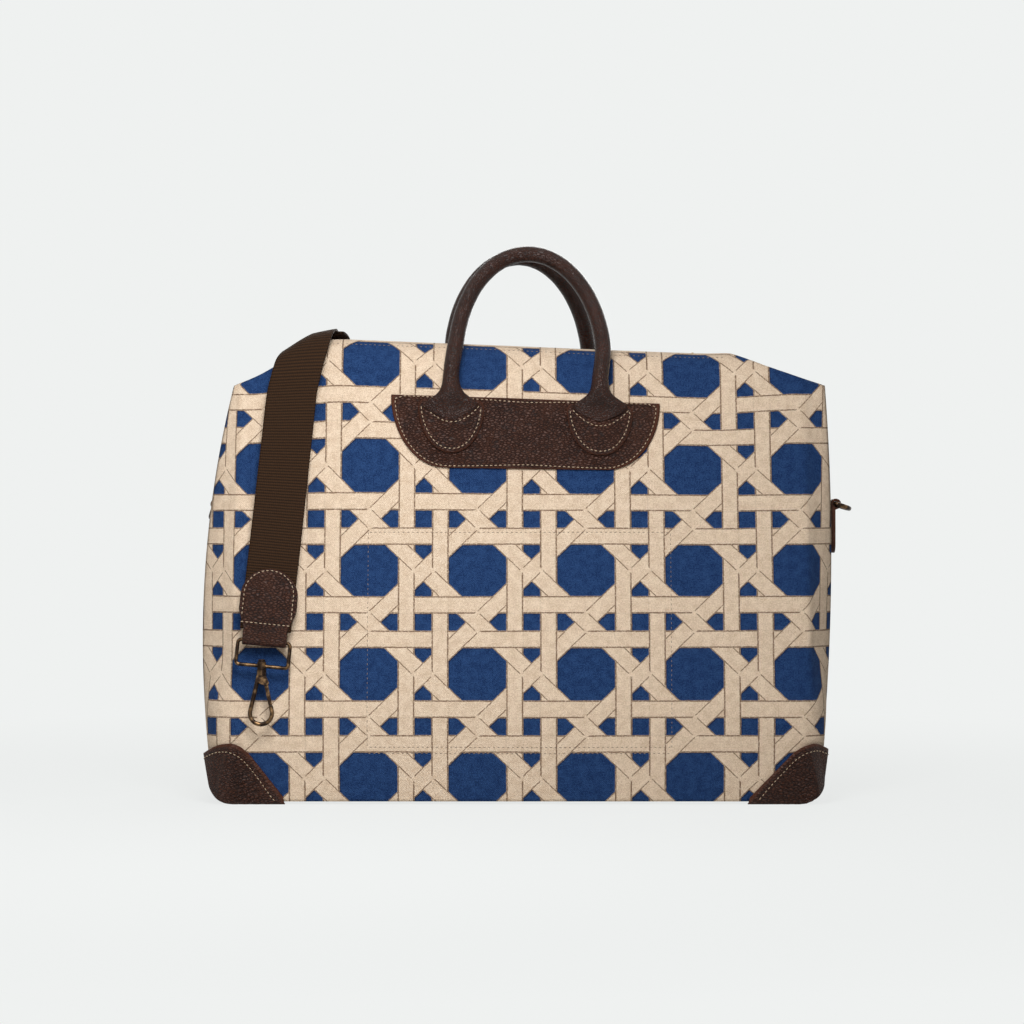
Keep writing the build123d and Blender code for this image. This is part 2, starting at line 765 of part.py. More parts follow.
# Ring tabs: leather folded down the side, with an eye at the top for the ring's bar
ring_eye_radius = ring_wire / 2 + seat_gap
ring_eye_outer = ring_eye_radius + leather_thickness + fold_ease
ring_rise = seat_gap + ring_eye_outer
ring_tab_thickness = 2 * leather_thickness
ring_tab_layer = cloth_layer(-seat_gap - fold_ease - ring_tab_thickness, ring_tab_thickness)


def ring_origin(side):
    """Middle of the ring's bar on one side."""
    half_width, widest_height, radius = side_shapes[side]
    reach = radius + ring_rise
    slope = asin((ring_height - widest_height) / reach)
    across = half_width - radius + reach * cos(slope)
    return (side * across, -side * ring_place, ring_height)


def ring_tab(side):
    """Tab on one side, the left one further back than the right one."""
    tab_face = Plane((0, -side * ring_place, ring_height), x_dir=(0, side, 0), z_dir=(side, 0, 0))
    bar_face = Plane(ring_origin(side), x_dir=(1, 0, 0), z_dir=(0, -1, 0))
    with BuildPart() as tab:
        add(ring_tab_layer)
        with BuildSketch(tab_face):
            with BuildLine():
                tab_sides = Polyline(
                    (-ring_tab_half_width, -ring_tab_length + ring_tab_end_radius),
                    (-ring_tab_half_width, 0),
                    (ring_tab_half_width, 0),
                    (ring_tab_half_width, -ring_tab_length + ring_tab_end_radius),
                )
                ThreePointArc(tab_sides @ 1, (0, -ring_tab_length), tab_sides @ 0)
            make_face()
        extrude(amount=span, mode=Mode.INTERSECT)
        with BuildSketch(bar_face):
            Circle(ring_eye_outer)
        extrude(amount=ring_tab_half_width, both=True)
        with BuildSketch(bar_face):
            Circle(ring_eye_radius)
        extrude(amount=ring_tab_half_width + seat_gap, both=True, mode=Mode.SUBTRACT)
    return tab


def side_ring(side, droop):
    """D-shaped ring on one side, drooping from level by an angle."""
    turn = radians(droop)
    ring_way = (side * cos(turn), 0, -sin(turn))
    ring_plane = Plane(ring_origin(side), x_dir=ring_way, z_dir=(side * sin(turn), 0, cos(turn)))
    bend = ring_depth - ring_half_width
    bar_end = ring_half_width - bend
    eased = bend * (1 - sin(radians(45)))
    with BuildPart() as ring:
        with BuildLine(ring_plane):
            bar = Line((0, -bar_end), (0, bar_end))
            turn_out = ThreePointArc(bar @ 1, (eased, ring_half_width - eased), (bend, ring_half_width))
            bow = ThreePointArc(turn_out @ 1, (ring_depth, 0), (bend, -ring_half_width))
            ThreePointArc(bow @ 1, (eased, -ring_half_width + eased), bar @ 0)
        with BuildSketch(Plane(bar @ 0, z_dir=bar % 0)):
            Circle(ring_wire / 2)
        sweep()
    return ring


for side, side_name, droop in ((-1, "left", left_ring_droop), (1, "right", right_ring_droop)):
    save(ring_tab(side), f"{side_name}_ring_tab")
    save(side_ring(side, droop), f"{side_name}_d_ring")
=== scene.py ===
"""Looks of a zip-top travel bag: cane-patterned cloth, grained leather, ribbed webbing and aged brass.

Metres. The bag stands on z = 0, its front faces -Y, and +X is to the right of the front.
"""

import logging
import math
from dataclasses import dataclass, field
from enum import Enum
from typing import Callable, Iterable, Optional, Sequence

import bmesh
import bpy
from mathutils import Matrix, Vector, noise


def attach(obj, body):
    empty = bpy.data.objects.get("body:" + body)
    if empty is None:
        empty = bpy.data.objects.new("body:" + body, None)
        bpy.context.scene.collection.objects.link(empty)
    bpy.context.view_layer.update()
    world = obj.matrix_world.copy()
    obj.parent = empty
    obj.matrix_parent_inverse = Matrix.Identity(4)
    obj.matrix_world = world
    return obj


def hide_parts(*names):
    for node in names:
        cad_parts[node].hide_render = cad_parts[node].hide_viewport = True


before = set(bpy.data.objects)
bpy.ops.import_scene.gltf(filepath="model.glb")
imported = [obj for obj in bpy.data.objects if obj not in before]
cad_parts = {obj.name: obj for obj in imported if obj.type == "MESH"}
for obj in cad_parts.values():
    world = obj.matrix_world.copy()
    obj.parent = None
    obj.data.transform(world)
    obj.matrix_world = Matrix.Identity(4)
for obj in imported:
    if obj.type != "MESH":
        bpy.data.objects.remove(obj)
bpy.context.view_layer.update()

log = logging.getLogger("carpet_bag")

MM = 0.001
UP = Vector((0.0, 0.0, 1.0))
TURN = 2 * math.pi
SAME_PLACE = 1e-6
CANE_TILE = (87.2 * MM, 84.0 * MM)
STITCH_LIFT = 0.1 * MM
SMOOTHING = 0.5
Colour = tuple[float, float, float, float]
Placed = tuple[Vector, tuple[float, float]]


def srgb(red: int, green: int, blue: int) -> Colour:
    """Linear colour of an 8-bit display colour.

    Args:
        red: Red from 0 to 255.
        green: Green from 0 to 255.
        blue: Blue from 0 to 255.

    Returns:
        The linear red, green, blue and an alpha of 1.
    """
    def linear(value: float) -> float:
        """Linear share of one display channel."""
        return value / 12.92 if value <= 0.04045 else ((value + 0.055) / 1.055) ** 2.4

    return (linear(red / 255), linear(green / 255), linear(blue / 255), 1.0)


def smooth_step(low: float, high: float, value: float) -> float:
    """Smooth rise from 0 at low to 1 at high."""
    share = min(max((value - low) / (high - low), 0.0), 1.0)
    return share * share * (3 - 2 * share)


class Face(Enum):
    """Broad face of the bag that a piece lies on, with its way along Y."""

    FRONT = -1.0
    BACK = 1.0

    def place(self, point: Vector) -> Vector:
        """Point of the front carried to this face."""
        return Vector((point.x, -self.value * point.y, point.z))


class Side(Enum):
    """Narrow side of the bag, with its way along X."""

    LEFT = -1.0
    RIGHT = 1.0


@dataclass(frozen=True)
class SideLine:
    """One side edge of the bag seen from the front, as an arc."""

    widest: float
    height: float
    radius: float

    def at(self, z: float) -> float:
        """Half width of the bag at a height."""
        return self.widest - self.radius + math.sqrt(self.radius**2 - (z - self.height) ** 2)


@dataclass(frozen=True)
class BagForm:
    """Form of the cloth body, and points on it."""

    top: float = 364 * MM
    base: float = 2.3 * MM
    belly_depth: float = 100 * MM
    belly_height: float = 78 * MM
    belly_radius: float = 480 * MM
    lean: float = math.radians(12.9)
    roll: float = 34 * MM
    shoulder: float = 338 * MM
    roof_half: float = 172 * MM
    base_round: float = 18 * MM
    plan_corner: float = 42 * MM
    plan_margin: float = 2 * MM
    least_corner: float = 6 * MM
    fold_across: float = 232 * MM
    fold_margin: float = 1.5 * MM
    fold_soft: float = 2.5 * MM
    fold_span: tuple[float, float] = (62 * MM, 125 * MM)
    hollow: float = 7.0 * MM
    hollow_start: float = 20 * MM
    least_run: float = 0.1 * MM
    seam_base: float = 78 * MM
    seam_shoulder: float = 42 * MM
    zip_half: float = 13 * MM
    crest: float = 5.0 * MM
    crest_tilt: float = 1.3
    crest_end: float = 12 * MM
    lift_at_middle: float = 2.6 * MM
    tilt_share: float = 0.04
    droop_start: float = 200 * MM
    droop_ends: tuple[float, float] = (140 * MM, 225 * MM)
    calm_edge: float = 50 * MM
    calm_seam: float = 60 * MM
    calm_flank: tuple[float, float] = (150 * MM, 200 * MM)
    calm_share: float = 0.7
    broad_rate: tuple[float, float] = (7.0, 9.0)
    broad_depth: float = 3.0 * MM
    broad_level: float = 0.35
    fine_rate: tuple[float, float] = (21.0, 17.0)
    fine_depth: float = 0.8 * MM
    fine_seed: float = 7.0
    upright_rate: tuple[float, float] = (26.0, 4.0)
    upright_depth: float = 1.0 * MM
    upright_seed: float = 13.0
    upright_span: tuple[float, float] = (120 * MM, 240 * MM)
    cap_reach: tuple[float, float, float] = (62 * MM, 58 * MM, 60 * MM)
    cap_gap: float = 2.3 * MM
    cap_tuck: float = 1.6 * MM
    tuck_soft: float = 8 * MM
    tuck_top: float = 80 * MM
    left: SideLine = SideLine(259 * MM, 140 * MM, 850 * MM)
    right: SideLine = SideLine(252 * MM, 220 * MM, 1800 * MM)

    @property
    def belly_centre(self) -> float:
        """Depth of the belly arc's centre."""
        return self.belly_depth - self.belly_radius

    @property
    def wall_foot(self) -> tuple[float, float]:
        """Depth and height where the straight wall starts."""
        return (
            self.belly_centre + self.belly_radius * math.cos(self.lean),
            self.belly_height + self.belly_radius * math.sin(self.lean),
        )

    @property
    def roll_centre(self) -> tuple[float, float]:
        """Depth and height of the rolled edge's centre."""
        depth, height = self.wall_foot
        middle = self.top - self.roll
        climb = (middle - height) * math.sin(self.lean)
        return depth - (self.roll + climb) / math.cos(self.lean), middle

    @property
    def runs(self) -> tuple[float, float, float, float]:
        """Lengths of the belly, the wall, the roll and the roof along the section."""
        start = math.asin((self.base - self.belly_height) / self.belly_radius)
        _, height = self.wall_foot
        roll_depth, roll_height = self.roll_centre
        rise = roll_height + self.roll * math.sin(self.lean) - height
        return (
            self.belly_radius * (self.lean - start),
            rise / math.cos(self.lean),
            self.roll * (math.pi / 2 - self.lean),
            roll_depth - self.zip_half,
        )

    @property
    def length(self) -> float:
        """Length of the section from the base to the zip."""
        return sum(self.runs)

    def section(self, t: float) -> tuple[float, float, float]:
        """Point of the section at a length from the base.

        Args:
            t: Length along the section.

        Returns:
            Half depth, height, and the surface's tilt from upright.
        """
        belly, wall, roll, _ = self.runs
        if t < belly:
            angle = self.lean - (belly - t) / self.belly_radius
            depth = self.belly_centre + self.belly_radius * math.cos(angle)
            return depth, self.belly_height + self.belly_radius * math.sin(angle), angle
        depth, height = self.wall_foot
        if t < belly + wall:
            run = t - belly
            return depth - run * math.sin(self.lean), height + run * math.cos(self.lean), self.lean
        depth, height = self.roll_centre
        if t < belly + wall + roll:
            angle = self.lean + (t - belly - wall) / self.roll
            return depth + self.roll * math.cos(angle), height + self.roll * math.sin(angle), angle
        run = t - belly - wall - roll
        return depth - run, self.top, math.pi / 2

    def length_at(self, z: float) -> float:
        """Length along the section at a height below the rolled edge."""
        _, height = self.wall_foot
        belly = self.runs[0]
        if z < height:
            angle = math.asin((z - self.belly_height) / self.belly_radius)
            return belly - self.belly_radius * (self.lean - angle)
        return belly + (z - height) / math.cos(self.lean)

    def roof(self, x: float) -> float:
        """Height of the roof's outline at a place across the bag."""
        side = self.right if x > 0 else self.left
        shoulder = side.at(self.shoulder)
        share = min(max((abs(x) - self.roof_half) / (shoulder - self.roof_half), 0.0), 1.0)
        return self.top - share * (self.top - self.shoulder)

    def half_width(self, z: float, way: float) -> float:
        """Half width at a height on one side, with the rounded base and the sloping roof ends."""
        side = self.right if way > 0 else self.left
        width = side.at(min(z, self.shoulder))
        if z > self.shoulder:
            share = min((z - self.shoulder) / (self.top - self.shoulder), 1.0)
            return width + share * (self.roof_half - width)
        drop = self.base + self.base_round - z
        if drop > 0:
            width -= self.base_round - math.sqrt(max(self.base_round**2 - drop**2, 0.0))
        return width

    def seam(self, z: float) -> float:
        """Half width of the gusset at a height."""
        if z < self.shoulder:
            return self.seam_base + (self.seam_shoulder - self.seam_base) * z / self.shoulder
        share = min((z - self.shoulder) / (self.top - self.shoulder), 1.0)
        return self.seam_shoulder + (self.zip_half - self.seam_shoulder) * share

    def corner(self, z: float, depth: float, way: float) -> float:
        """Radius of the upright corner at a height, so that it stays inside the rounded plan."""
        side = self.right if way > 0 else self.left
        across = self.half_width(z, way) - (side.widest + self.plan_margin - self.plan_corner)
        deep = depth - (self.belly_depth + self.plan_margin - self.plan_corner)
        beyond = math.hypot(max(across, 0.0), max(deep, 0.0)) - self.plan_corner
        radius = max(beyond / (math.sqrt(2) - 1), self.least_corner)
        return max(min(radius, depth - self.seam(z)), self.least_run)

    def cap_plane(self, face: Face, side: Side) -> tuple[Vector, Vector]:
        """Point and inward direction of the plane that cuts one corner cap."""
        line = self.right if side is Side.RIGHT else self.left
        across = line.at(self.base) + self.cap_gap - self.cap_reach[0]
        depth = self.section(0)[0] + self.cap_gap
        point = Vector((side.value * across, face.value * depth, 0.0))
        wide, deep, high = self.cap_reach
        normal = Vector((side.value / wide, face.value / deep, -1 / high))
        return point, normal.normalized()

    def tuck(self, place: Vector) -> float:
        """How far the cloth is pressed in under a corner cap."""
        if place.z > self.tuck_top:
            return 0.0
        face = Face.FRONT if place.y < 0 else Face.BACK
        point, normal = self.cap_plane(face, Side.RIGHT if place.x > 0 else Side.LEFT)
        return self.cap_tuck * smooth_step(0.0, self.tuck_soft, (place - point).dot(normal))

    def round_row(self, t: float, way: float) -> float:
        """Length of a level row round a rounded corner, from the panel's middle to its side seam."""
        depth, z, _ = self.section(t)
        radius = self.corner(z, depth, way)
        return self.half_width(z, way) - radius + radius * math.pi / 2 + depth - radius - self.seam(z)

    def fold(self, t: float, way: float) -> tuple[float, float, float]:
        """Place across of the upright fold, and the run from it to the seam, across and back."""
        depth, z, _ = self.section(t)
        width = self.half_width(z, way)
        across = min(self.fold_across, width - self.fold_margin)
        return across, width - across, max(depth - self.seam(z), self.least_run)

    def row(self, t: float, way: float) -> float:
        """Length of a level row from the middle of the panel to its side seam."""
        across, out, back = self.fold(t, way)
        share = smooth_step(*self.fold_span, self.section(t)[1])
        return self.round_row(t, way) * (1 - share) + (across + math.hypot(out, back)) * share

    def droop(self, x: float, z: float) -> float:
        """How far the soft top sits above or below the level form."""
        share = smooth_step(self.droop_start, self.top, z) * (1 - smooth_step(*self.droop_ends, abs(x)))
        return (self.lift_at_middle - self.tilt_share * x) * share

    def relief(self, a: float, t: float, seed: float) -> float:
        """Soft unevenness of the cloth, mostly inwards."""
        def waves(rate: tuple[float, float], start: float) -> float:
            """Smooth noise at a rate across and up."""
            return noise.noise(Vector((a * rate[0], t * rate[1], seed + start)))

        row = self.row(t, a)
        calm = smooth_step(0, self.calm_edge, t) * smooth_step(0, self.calm_edge, self.length - t)
        calm *= smooth_step(0, self.calm_seam, row - abs(a))
        calm *= 1 - self.calm_share * smooth_step(*self.calm_flank, abs(a))
        broad = self.broad_depth * (waves(self.broad_rate, 0.0) - self.broad_level)
        fine = self.fine_depth * waves(self.fine_rate, self.fine_seed)
        upright = self.upright_depth * waves(self.upright_rate, self.upright_seed)
        return calm * (broad + fine + upright * smooth_step(*self.upright_span, abs(a)))

    def puff(self, tilt: float) -> float:
        """How far the rolled edge stands out where the surface has a tilt."""
        return self.crest * smooth_step(self.lean, self.crest_tilt, tilt)

    def point(self, a: float, t: float, lift: float = 0.0, seed: float = 0.0) -> Vector:
        """Point on the front panel.

        Args:
            a: Length from the panel's middle along a level row.
            t: Length along the section from the base.
            lift: Distance out of the cloth.
            seed: Seed of the cloth's unevenness.

        Returns:
            The point, on the front of the bag.
        """
        depth, z, tilt = self.section(t)
        way = 1.0 if a >= 0 else -1.0
        share = smooth_step(*self.fold_span, z)
        part = abs(a) / self.row(t, way)
        radius = self.corner(z, depth, way)
        straight = self.half_width(z, way) - radius
        reach = part * self.round_row(t, way)
        beyond = reach - straight
        turn = min(max(beyond / radius, 0.0), math.pi / 2)
        across = min(reach, straight) + radius * math.sin(turn)
        back = radius * (1 - math.cos(turn)) + max(beyond - radius * math.pi / 2, 0.0)
        crease, out, inward = self.fold(t, way)
        run = math.hypot(out, inward)
        past = part * (crease + run) - crease
        ramp = (past + math.hypot(past, self.fold_soft)) / 2
        bent = math.atan2(inward, out) * (1 + past / math.hypot(past, self.fold_soft)) / 2
        across += share * (crease + past - ramp * (1 - out / run) - across)
        back += share * (ramp * inward / run - back)
        turn += share * (bent - turn)
        level = math.cos(turn)
        normal = Vector((way * math.sin(turn), -level * math.cos(tilt), level * math.sin(tilt)))
        puff = self.puff(tilt) * smooth_step(0, self.crest_end, self.length - t)
        hollow = self.hollow * share * smooth_step(self.hollow_start, self.fold_across, across)
        hollow *= 1 - smooth_step(0, run, max(past, 0.0))
        place = Vector((way * across, back - depth + hollow * math.cos(tilt), z))
        place += normal.normalized() * (lift + puff + self.relief(a, t, seed) - self.tuck(place))
        place.z += self.droop(place.x, z)
        return place


FORM = BagForm()
SEEDS = {Face.FRONT: 3.0, Face.BACK: 21.0}


class Net:
    """Adds and links the nodes of one shader tree."""

    def __init__(self, tree: bpy.types.NodeTree) -> None:
        """Start on a tree."""
        self.tree = tree

    def add(self, kind: str, inputs: Optional[dict] = None, **settings: object) -> bpy.types.Node:
        """Add a node.

        Args:
            kind: Name of the node's type.
            inputs: Values or sockets by input name or number.
            **settings: Properties of the node.

        Returns:
            The node.
        """
        node = self.tree.nodes.new(kind)
        for name, value in settings.items():
            setattr(node, name, value)
        for name, value in (inputs or {}).items():
            socket = node.inputs[name]
            if isinstance(value, bpy.types.NodeSocket):
                self.tree.links.new(value, socket)
            else:
                socket.default_value = value
        return node

    def vector(self, operation: str, first: object, second: object) -> bpy.types.NodeSocket:
        """Result of a vector math node on two vectors."""
        return self.add("ShaderNodeVectorMath", {0: first, 1: second}, operation=operation).outputs[0]

    def scaled(self, vector: object, factor: float) -> bpy.types.NodeSocket:
        """Vector times a factor."""
        node = self.add("ShaderNodeVectorMath", {0: vector, "Scale": factor}, operation="SCALE")
        return node.outputs[0]

    def math(self, operation: str, *values: object, clamp: bool = False) -> bpy.types.NodeSocket:
        """Result of a math node."""
        node = self.add("ShaderNodeMath", dict(enumerate(values)), operation=operation, use_clamp=clamp)
        return node.outputs[0]

    def mix(self, share: object, first: object, second: object) -> bpy.types.NodeSocket:
        """Mix of two colours."""
        node = self.add("ShaderNodeMix", {0: share, 6: first, 7: second}, data_type="RGBA")
        return node.outputs[2]

    def largest(self, *values: object) -> bpy.types.NodeSocket:
        """Largest of several values."""
        result = values[0]
        for value in values[1:]:
            result = self.math("MAXIMUM", result, value)
        return result

    def product(self, *values: object) -> bpy.types.NodeSocket:
        """Product of several values."""
        result = values[0]
        for value in values[1:]:
            result = self.math("MULTIPLY", result, value)
        return result

    def inverse(self, value: object) -> bpy.types.NodeSocket:
        """One less a value."""
        return self.math("SUBTRACT", 1.0, value)

    def noise(self, vector: object, scale: float, detail: float) -> bpy.types.NodeSocket:
        """Noise value at a place."""
        node = self.add("ShaderNodeTexNoise", {"Vector": vector, "Scale": scale, "Detail": detail})
        return node.outputs["Fac"]

    def colour_noise(self, vector: object, scale: float, detail: float) -> bpy.types.NodeSocket:
        """Noise with three separate values at a place."""
        node = self.add("ShaderNodeTexNoise", {"Vector": vector, "Scale": scale, "Detail": detail})
        return node.outputs["Color"]

    def spread(
        self, value: object, low: float, high: float, start: float = 0.0, end: float = 1.0
    ) -> bpy.types.NodeSocket:
        """Value carried from one span to another, held at its ends."""
        inputs = {0: value, 1: low, 2: high, 3: start, 4: end}
        return self.add("ShaderNodeMapRange", inputs).outputs[0]

    def blend(
        self, first: object, share: float, second: object, other: float = 1.0
    ) -> bpy.types.NodeSocket:
        """Sum of two values, each times its share."""
        parts = []
        for value, part in ((first, share), (second, other)):
            parts.append(value if part == 1.0 else self.math("MULTIPLY", value, part))
        return self.math("ADD", *parts)

    def group(self, tree: bpy.types.NodeTree, inputs: dict) -> bpy.types.Node:
        """Place a node group."""
        return self.add("ShaderNodeGroup", inputs, node_tree=tree)

    def object_place(self) -> bpy.types.NodeSocket:
        """Place in the object's own coordinates."""
        return self.add("ShaderNodeTexCoord").outputs["Object"]

    def seen(self) -> bpy.types.NodeSocket:
        """Share of rays that come straight, mirrored or through glass to the camera."""
        path = self.add("ShaderNodeLightPath")
        kinds = ("Is Camera Ray", "Is Glossy Ray", "Is Transmission Ray")
        return self.largest(*(path.outputs[kind] for kind in kinds))


def start_group(name: str, inputs: dict[str, str], outputs: Sequence[str]) -> tuple[Net, dict, Callable]:
    """Start a shader node group.

    Args:
        name: The group's name.
        inputs: Kind of each input, VECTOR or FLOAT, by name.
        outputs: Names of the float outputs.

    Returns:
        The net, the input sockets by name, and a function that links an output.
    """
    tree = bpy.data.node_groups.new(name, "ShaderNodeTree")
    kinds = {"VECTOR": "NodeSocketVector", "FLOAT": "NodeSocketFloat"}
    for label, kind in inputs.items():
        tree.interface.new_socket(label, in_out="INPUT", socket_type=kinds[kind])
    for label in outputs:
        tree.interface.new_socket(label, in_out="OUTPUT", socket_type=kinds["FLOAT"])
    net = Net(tree)
    start = net.add("NodeGroupInput")
    end = net.add("NodeGroupOutput")

    def give(label: str, socket: bpy.types.NodeSocket) -> None:
        """Link one output of the group."""
        tree.links.new(socket, end.inputs[label])

    return net, {label: start.outputs[label] for label in inputs}, give


@dataclass(frozen=True)
class CaneWork:
    """Six-way cane pattern: paired uprights and levels with two diagonals through the octagons."""

    upright_centre_share: float = 0.344
    upright_half_share: float = 0.078
    level_centre_share: float = 0.334
    level_half_share: float = 0.084
    slant_half_share: float = 0.109
    line_share: float = 0.013
    soft_share: float = 0.006
    level_tone: float = 0.4

    def build(self) -> bpy.types.NodeTree:
        """Group with the strands' cover and their outlines.

        Returns:
            The node group, in tiles whose octagons are centred on whole numbers.
        """
        net, given, give = start_group("cane_work", {"Vector": "VECTOR"}, ["Cover", "Line", "Tone"])
        parts = net.add("ShaderNodeSeparateXYZ", {0: given["Vector"]})
        u, v = parts.outputs[0], parts.outputs[1]

        def strand(value: object, centre: float, half: float) -> tuple:
            """Cover and inner edge of one strand."""
            place = net.math("FRACT", value)
            away = net.math("ABSOLUTE", net.math("SUBTRACT", place, centre))

            def inside(reach: float) -> bpy.types.NodeSocket:
                """Soft mask of what lies within a reach of the strand's middle."""
                slope = -1 / self.soft_share
                return net.math("MULTIPLY_ADD", away, slope, reach / self.soft_share + 0.5, clamp=True)

            cover = inside(half)
            edge = net.product(cover, net.inverse(inside(half - self.line_share)))
            return cover, edge

        left = strand(u, self.upright_centre_share, self.upright_half_share)
        right = strand(u, 1 - self.upright_centre_share, self.upright_half_share)
        low = strand(v, self.level_centre_share, self.level_half_share)
        high = strand(v, 1 - self.level_centre_share, self.level_half_share)
        falling = strand(net.math("ADD", u, v), 0.5, self.slant_half_share)
        rising = strand(net.math("SUBTRACT", u, v), 0.5, self.slant_half_share)
        upright = net.largest(left[0], right[0])
        level = net.largest(low[0], high[0])
        wave_u = net.math("COSINE", net.math("MULTIPLY", u, TURN))
        wave_v = net.math("COSINE", net.math("MULTIPLY", v, TURN))
        falls_over = net.math("GREATER_THAN", wave_u, wave_v)
        level_over = net.largest(net.product(left[0], low[0]), net.product(right[0], high[0]))
        upright_over = net.largest(net.product(left[0], high[0]), net.product(right[0], low[0]))
        see_upright = net.product(net.inverse(falling[0]), net.inverse(level_over))
        see_level = net.product(net.inverse(rising[0]), net.inverse(upright_over))
        under_rising = net.product(rising[0], net.inverse(falls_over))
        see_falling = net.product(net.inverse(level), net.inverse(under_rising))
        under_falling = net.product(falling[0], falls_over)
        see_rising = net.product(net.inverse(upright), net.inverse(under_falling))
        lines = net.largest(
            net.product(see_upright, net.largest(left[1], right[1])),
            net.product(see_level, net.largest(low[1], high[1])),
            net.product(see_falling, falling[1]),
            net.product(see_rising, rising[1]),
        )
        level_tone = net.product(level, see_level, self.level_tone)
        tone = net.largest(net.product(upright, see_upright), level_tone)
        give("Cover", net.largest(upright, level, falling[0], rising[0]))
        give("Line", lines)
        give("Tone", tone)
        return net.tree


@dataclass(frozen=True)
class ThreadWeave:
    """Plain weave of fine threads, with an uneven tone."""

    grain_rate: float = 900.0
    grain_share: float = 0.65
    patch_rate: float = 160.0
    patch_share: float = 0.35
    thread_share: float = 0.5

    def build(self) -> bpy.types.NodeTree:
        """Group with the weave's height and tone, in metres.

        Returns:
            The node group.
        """
        inputs = {"Vector": "VECTOR", "Pitch": "FLOAT"}
        net, given, give = start_group("thread_weave", inputs, ["Height", "Tone"])
        parts = net.add("ShaderNodeSeparateXYZ", {0: given["Vector"]})
        rate = net.math("DIVIDE", math.pi, given["Pitch"])
        waves = [net.math("SINE", net.math("MULTIPLY", parts.outputs[axis], rate)) for axis in range(2)]
        over = net.math("MULTIPLY", waves[0], waves[1])
        grain = net.noise(given["Vector"], self.grain_rate, 2.0)
        patch = net.noise(given["Vector"], self.patch_rate, 3.0)
        give("Height", net.blend(over, self.thread_share, grain))
        give("Tone", net.blend(grain, self.grain_share, patch, self.patch_share))
        return net.tree


@dataclass(frozen=True)
class LeatherGrain:
    """Pebbled grain with fine creases, drawn out across the bag."""

    stretch: tuple[float, float, float] = (0.62, 1.0, 1.2)
    bend_rate: float = 90.0
    bend: float = 4 * MM
    groove_share: float = 0.32
    dome_power: float = 0.6
    fine_rate: float = 1400.0
    fine_share: float = 0.35
    broad_rate: float = 60.0
    painted_dome_shading: float = 0.6
    broad_tone: float = 0.5

    def build(self) -> bpy.types.NodeTree:
        """Group with the grain's height and tone; the tone holds painted shade in the grooves and a painted
        highlight on the pebble tops, mixed with broad random tone.

        Returns:
            The node group.
        """
        inputs = {"Vector": "VECTOR", "Scale": "FLOAT"}
        net, given, give = start_group("leather_grain", inputs, ["Height", "Tone"])
        bend = net.colour_noise(given["Vector"], self.bend_rate, 2.0)
        place = net.vector("ADD", given["Vector"], net.scaled(bend, self.bend))
        drawn = net.vector("MULTIPLY", place, self.stretch)
        pebbles = {"Vector": drawn, "Scale": given["Scale"]}
        cells = net.add("ShaderNodeTexVoronoi", pebbles, feature="DISTANCE_TO_EDGE")
        pebble = net.spread(cells.outputs["Distance"], 0.0, self.groove_share)
        dome = net.math("POWER", pebble, self.dome_power)
        fine = net.noise(given["Vector"], self.fine_rate, 3.0)
        broad = net.noise(given["Vector"], self.broad_rate, 3.0)
        give("Height", net.blend(dome, 1.0, fine, self.fine_share))
        # Tone: the pebble dome paints shade into the grooves and a highlight onto the tops; the broad noise
        # is random tone.
        give("Tone", net.blend(dome, self.painted_dome_shading, broad, self.broad_tone))
        return net.tree


CANE = CaneWork().build()
WEAVE = ThreadWeave().build()
GRAIN = LeatherGrain().build()


@dataclass(frozen=True)
class Finish:
    """Base of a finish: a material with a Principled shader."""

    name: str

    def start(self) -> tuple[bpy.types.Material, Net, bpy.types.Node]:
        """New material, its net and its shader."""
        material = bpy.data.materials.new(self.name)
        material.use_nodes = True
        net = Net(material.node_tree)
        return material, net, material.node_tree.nodes["Principled BSDF"]

    def bump(
        self, net: Net, shader: bpy.types.Node, height: object, distance: float, strength: float
    ) -> None:
        """Give the shader a bump of a height."""
        node = net.add("ShaderNodeBump", {"Height": height, "Distance": distance, "Strength": strength})
        net.tree.links.new(node.outputs[0], shader.inputs["Normal"])

    def link(self, net: Net, value: bpy.types.NodeSocket, shader: bpy.types.Node, socket: str) -> None:
        """Link a value to a socket of the shader."""
        net.tree.links.new(value, shader.inputs[socket])

    def even(self, shader: bpy.types.Node, **values: float) -> None:
        """Set sockets of the shader that are the same all over, named with low lines for spaces."""
        for name, value in values.items():
            shader.inputs[name.replace("_", " ")].default_value = value


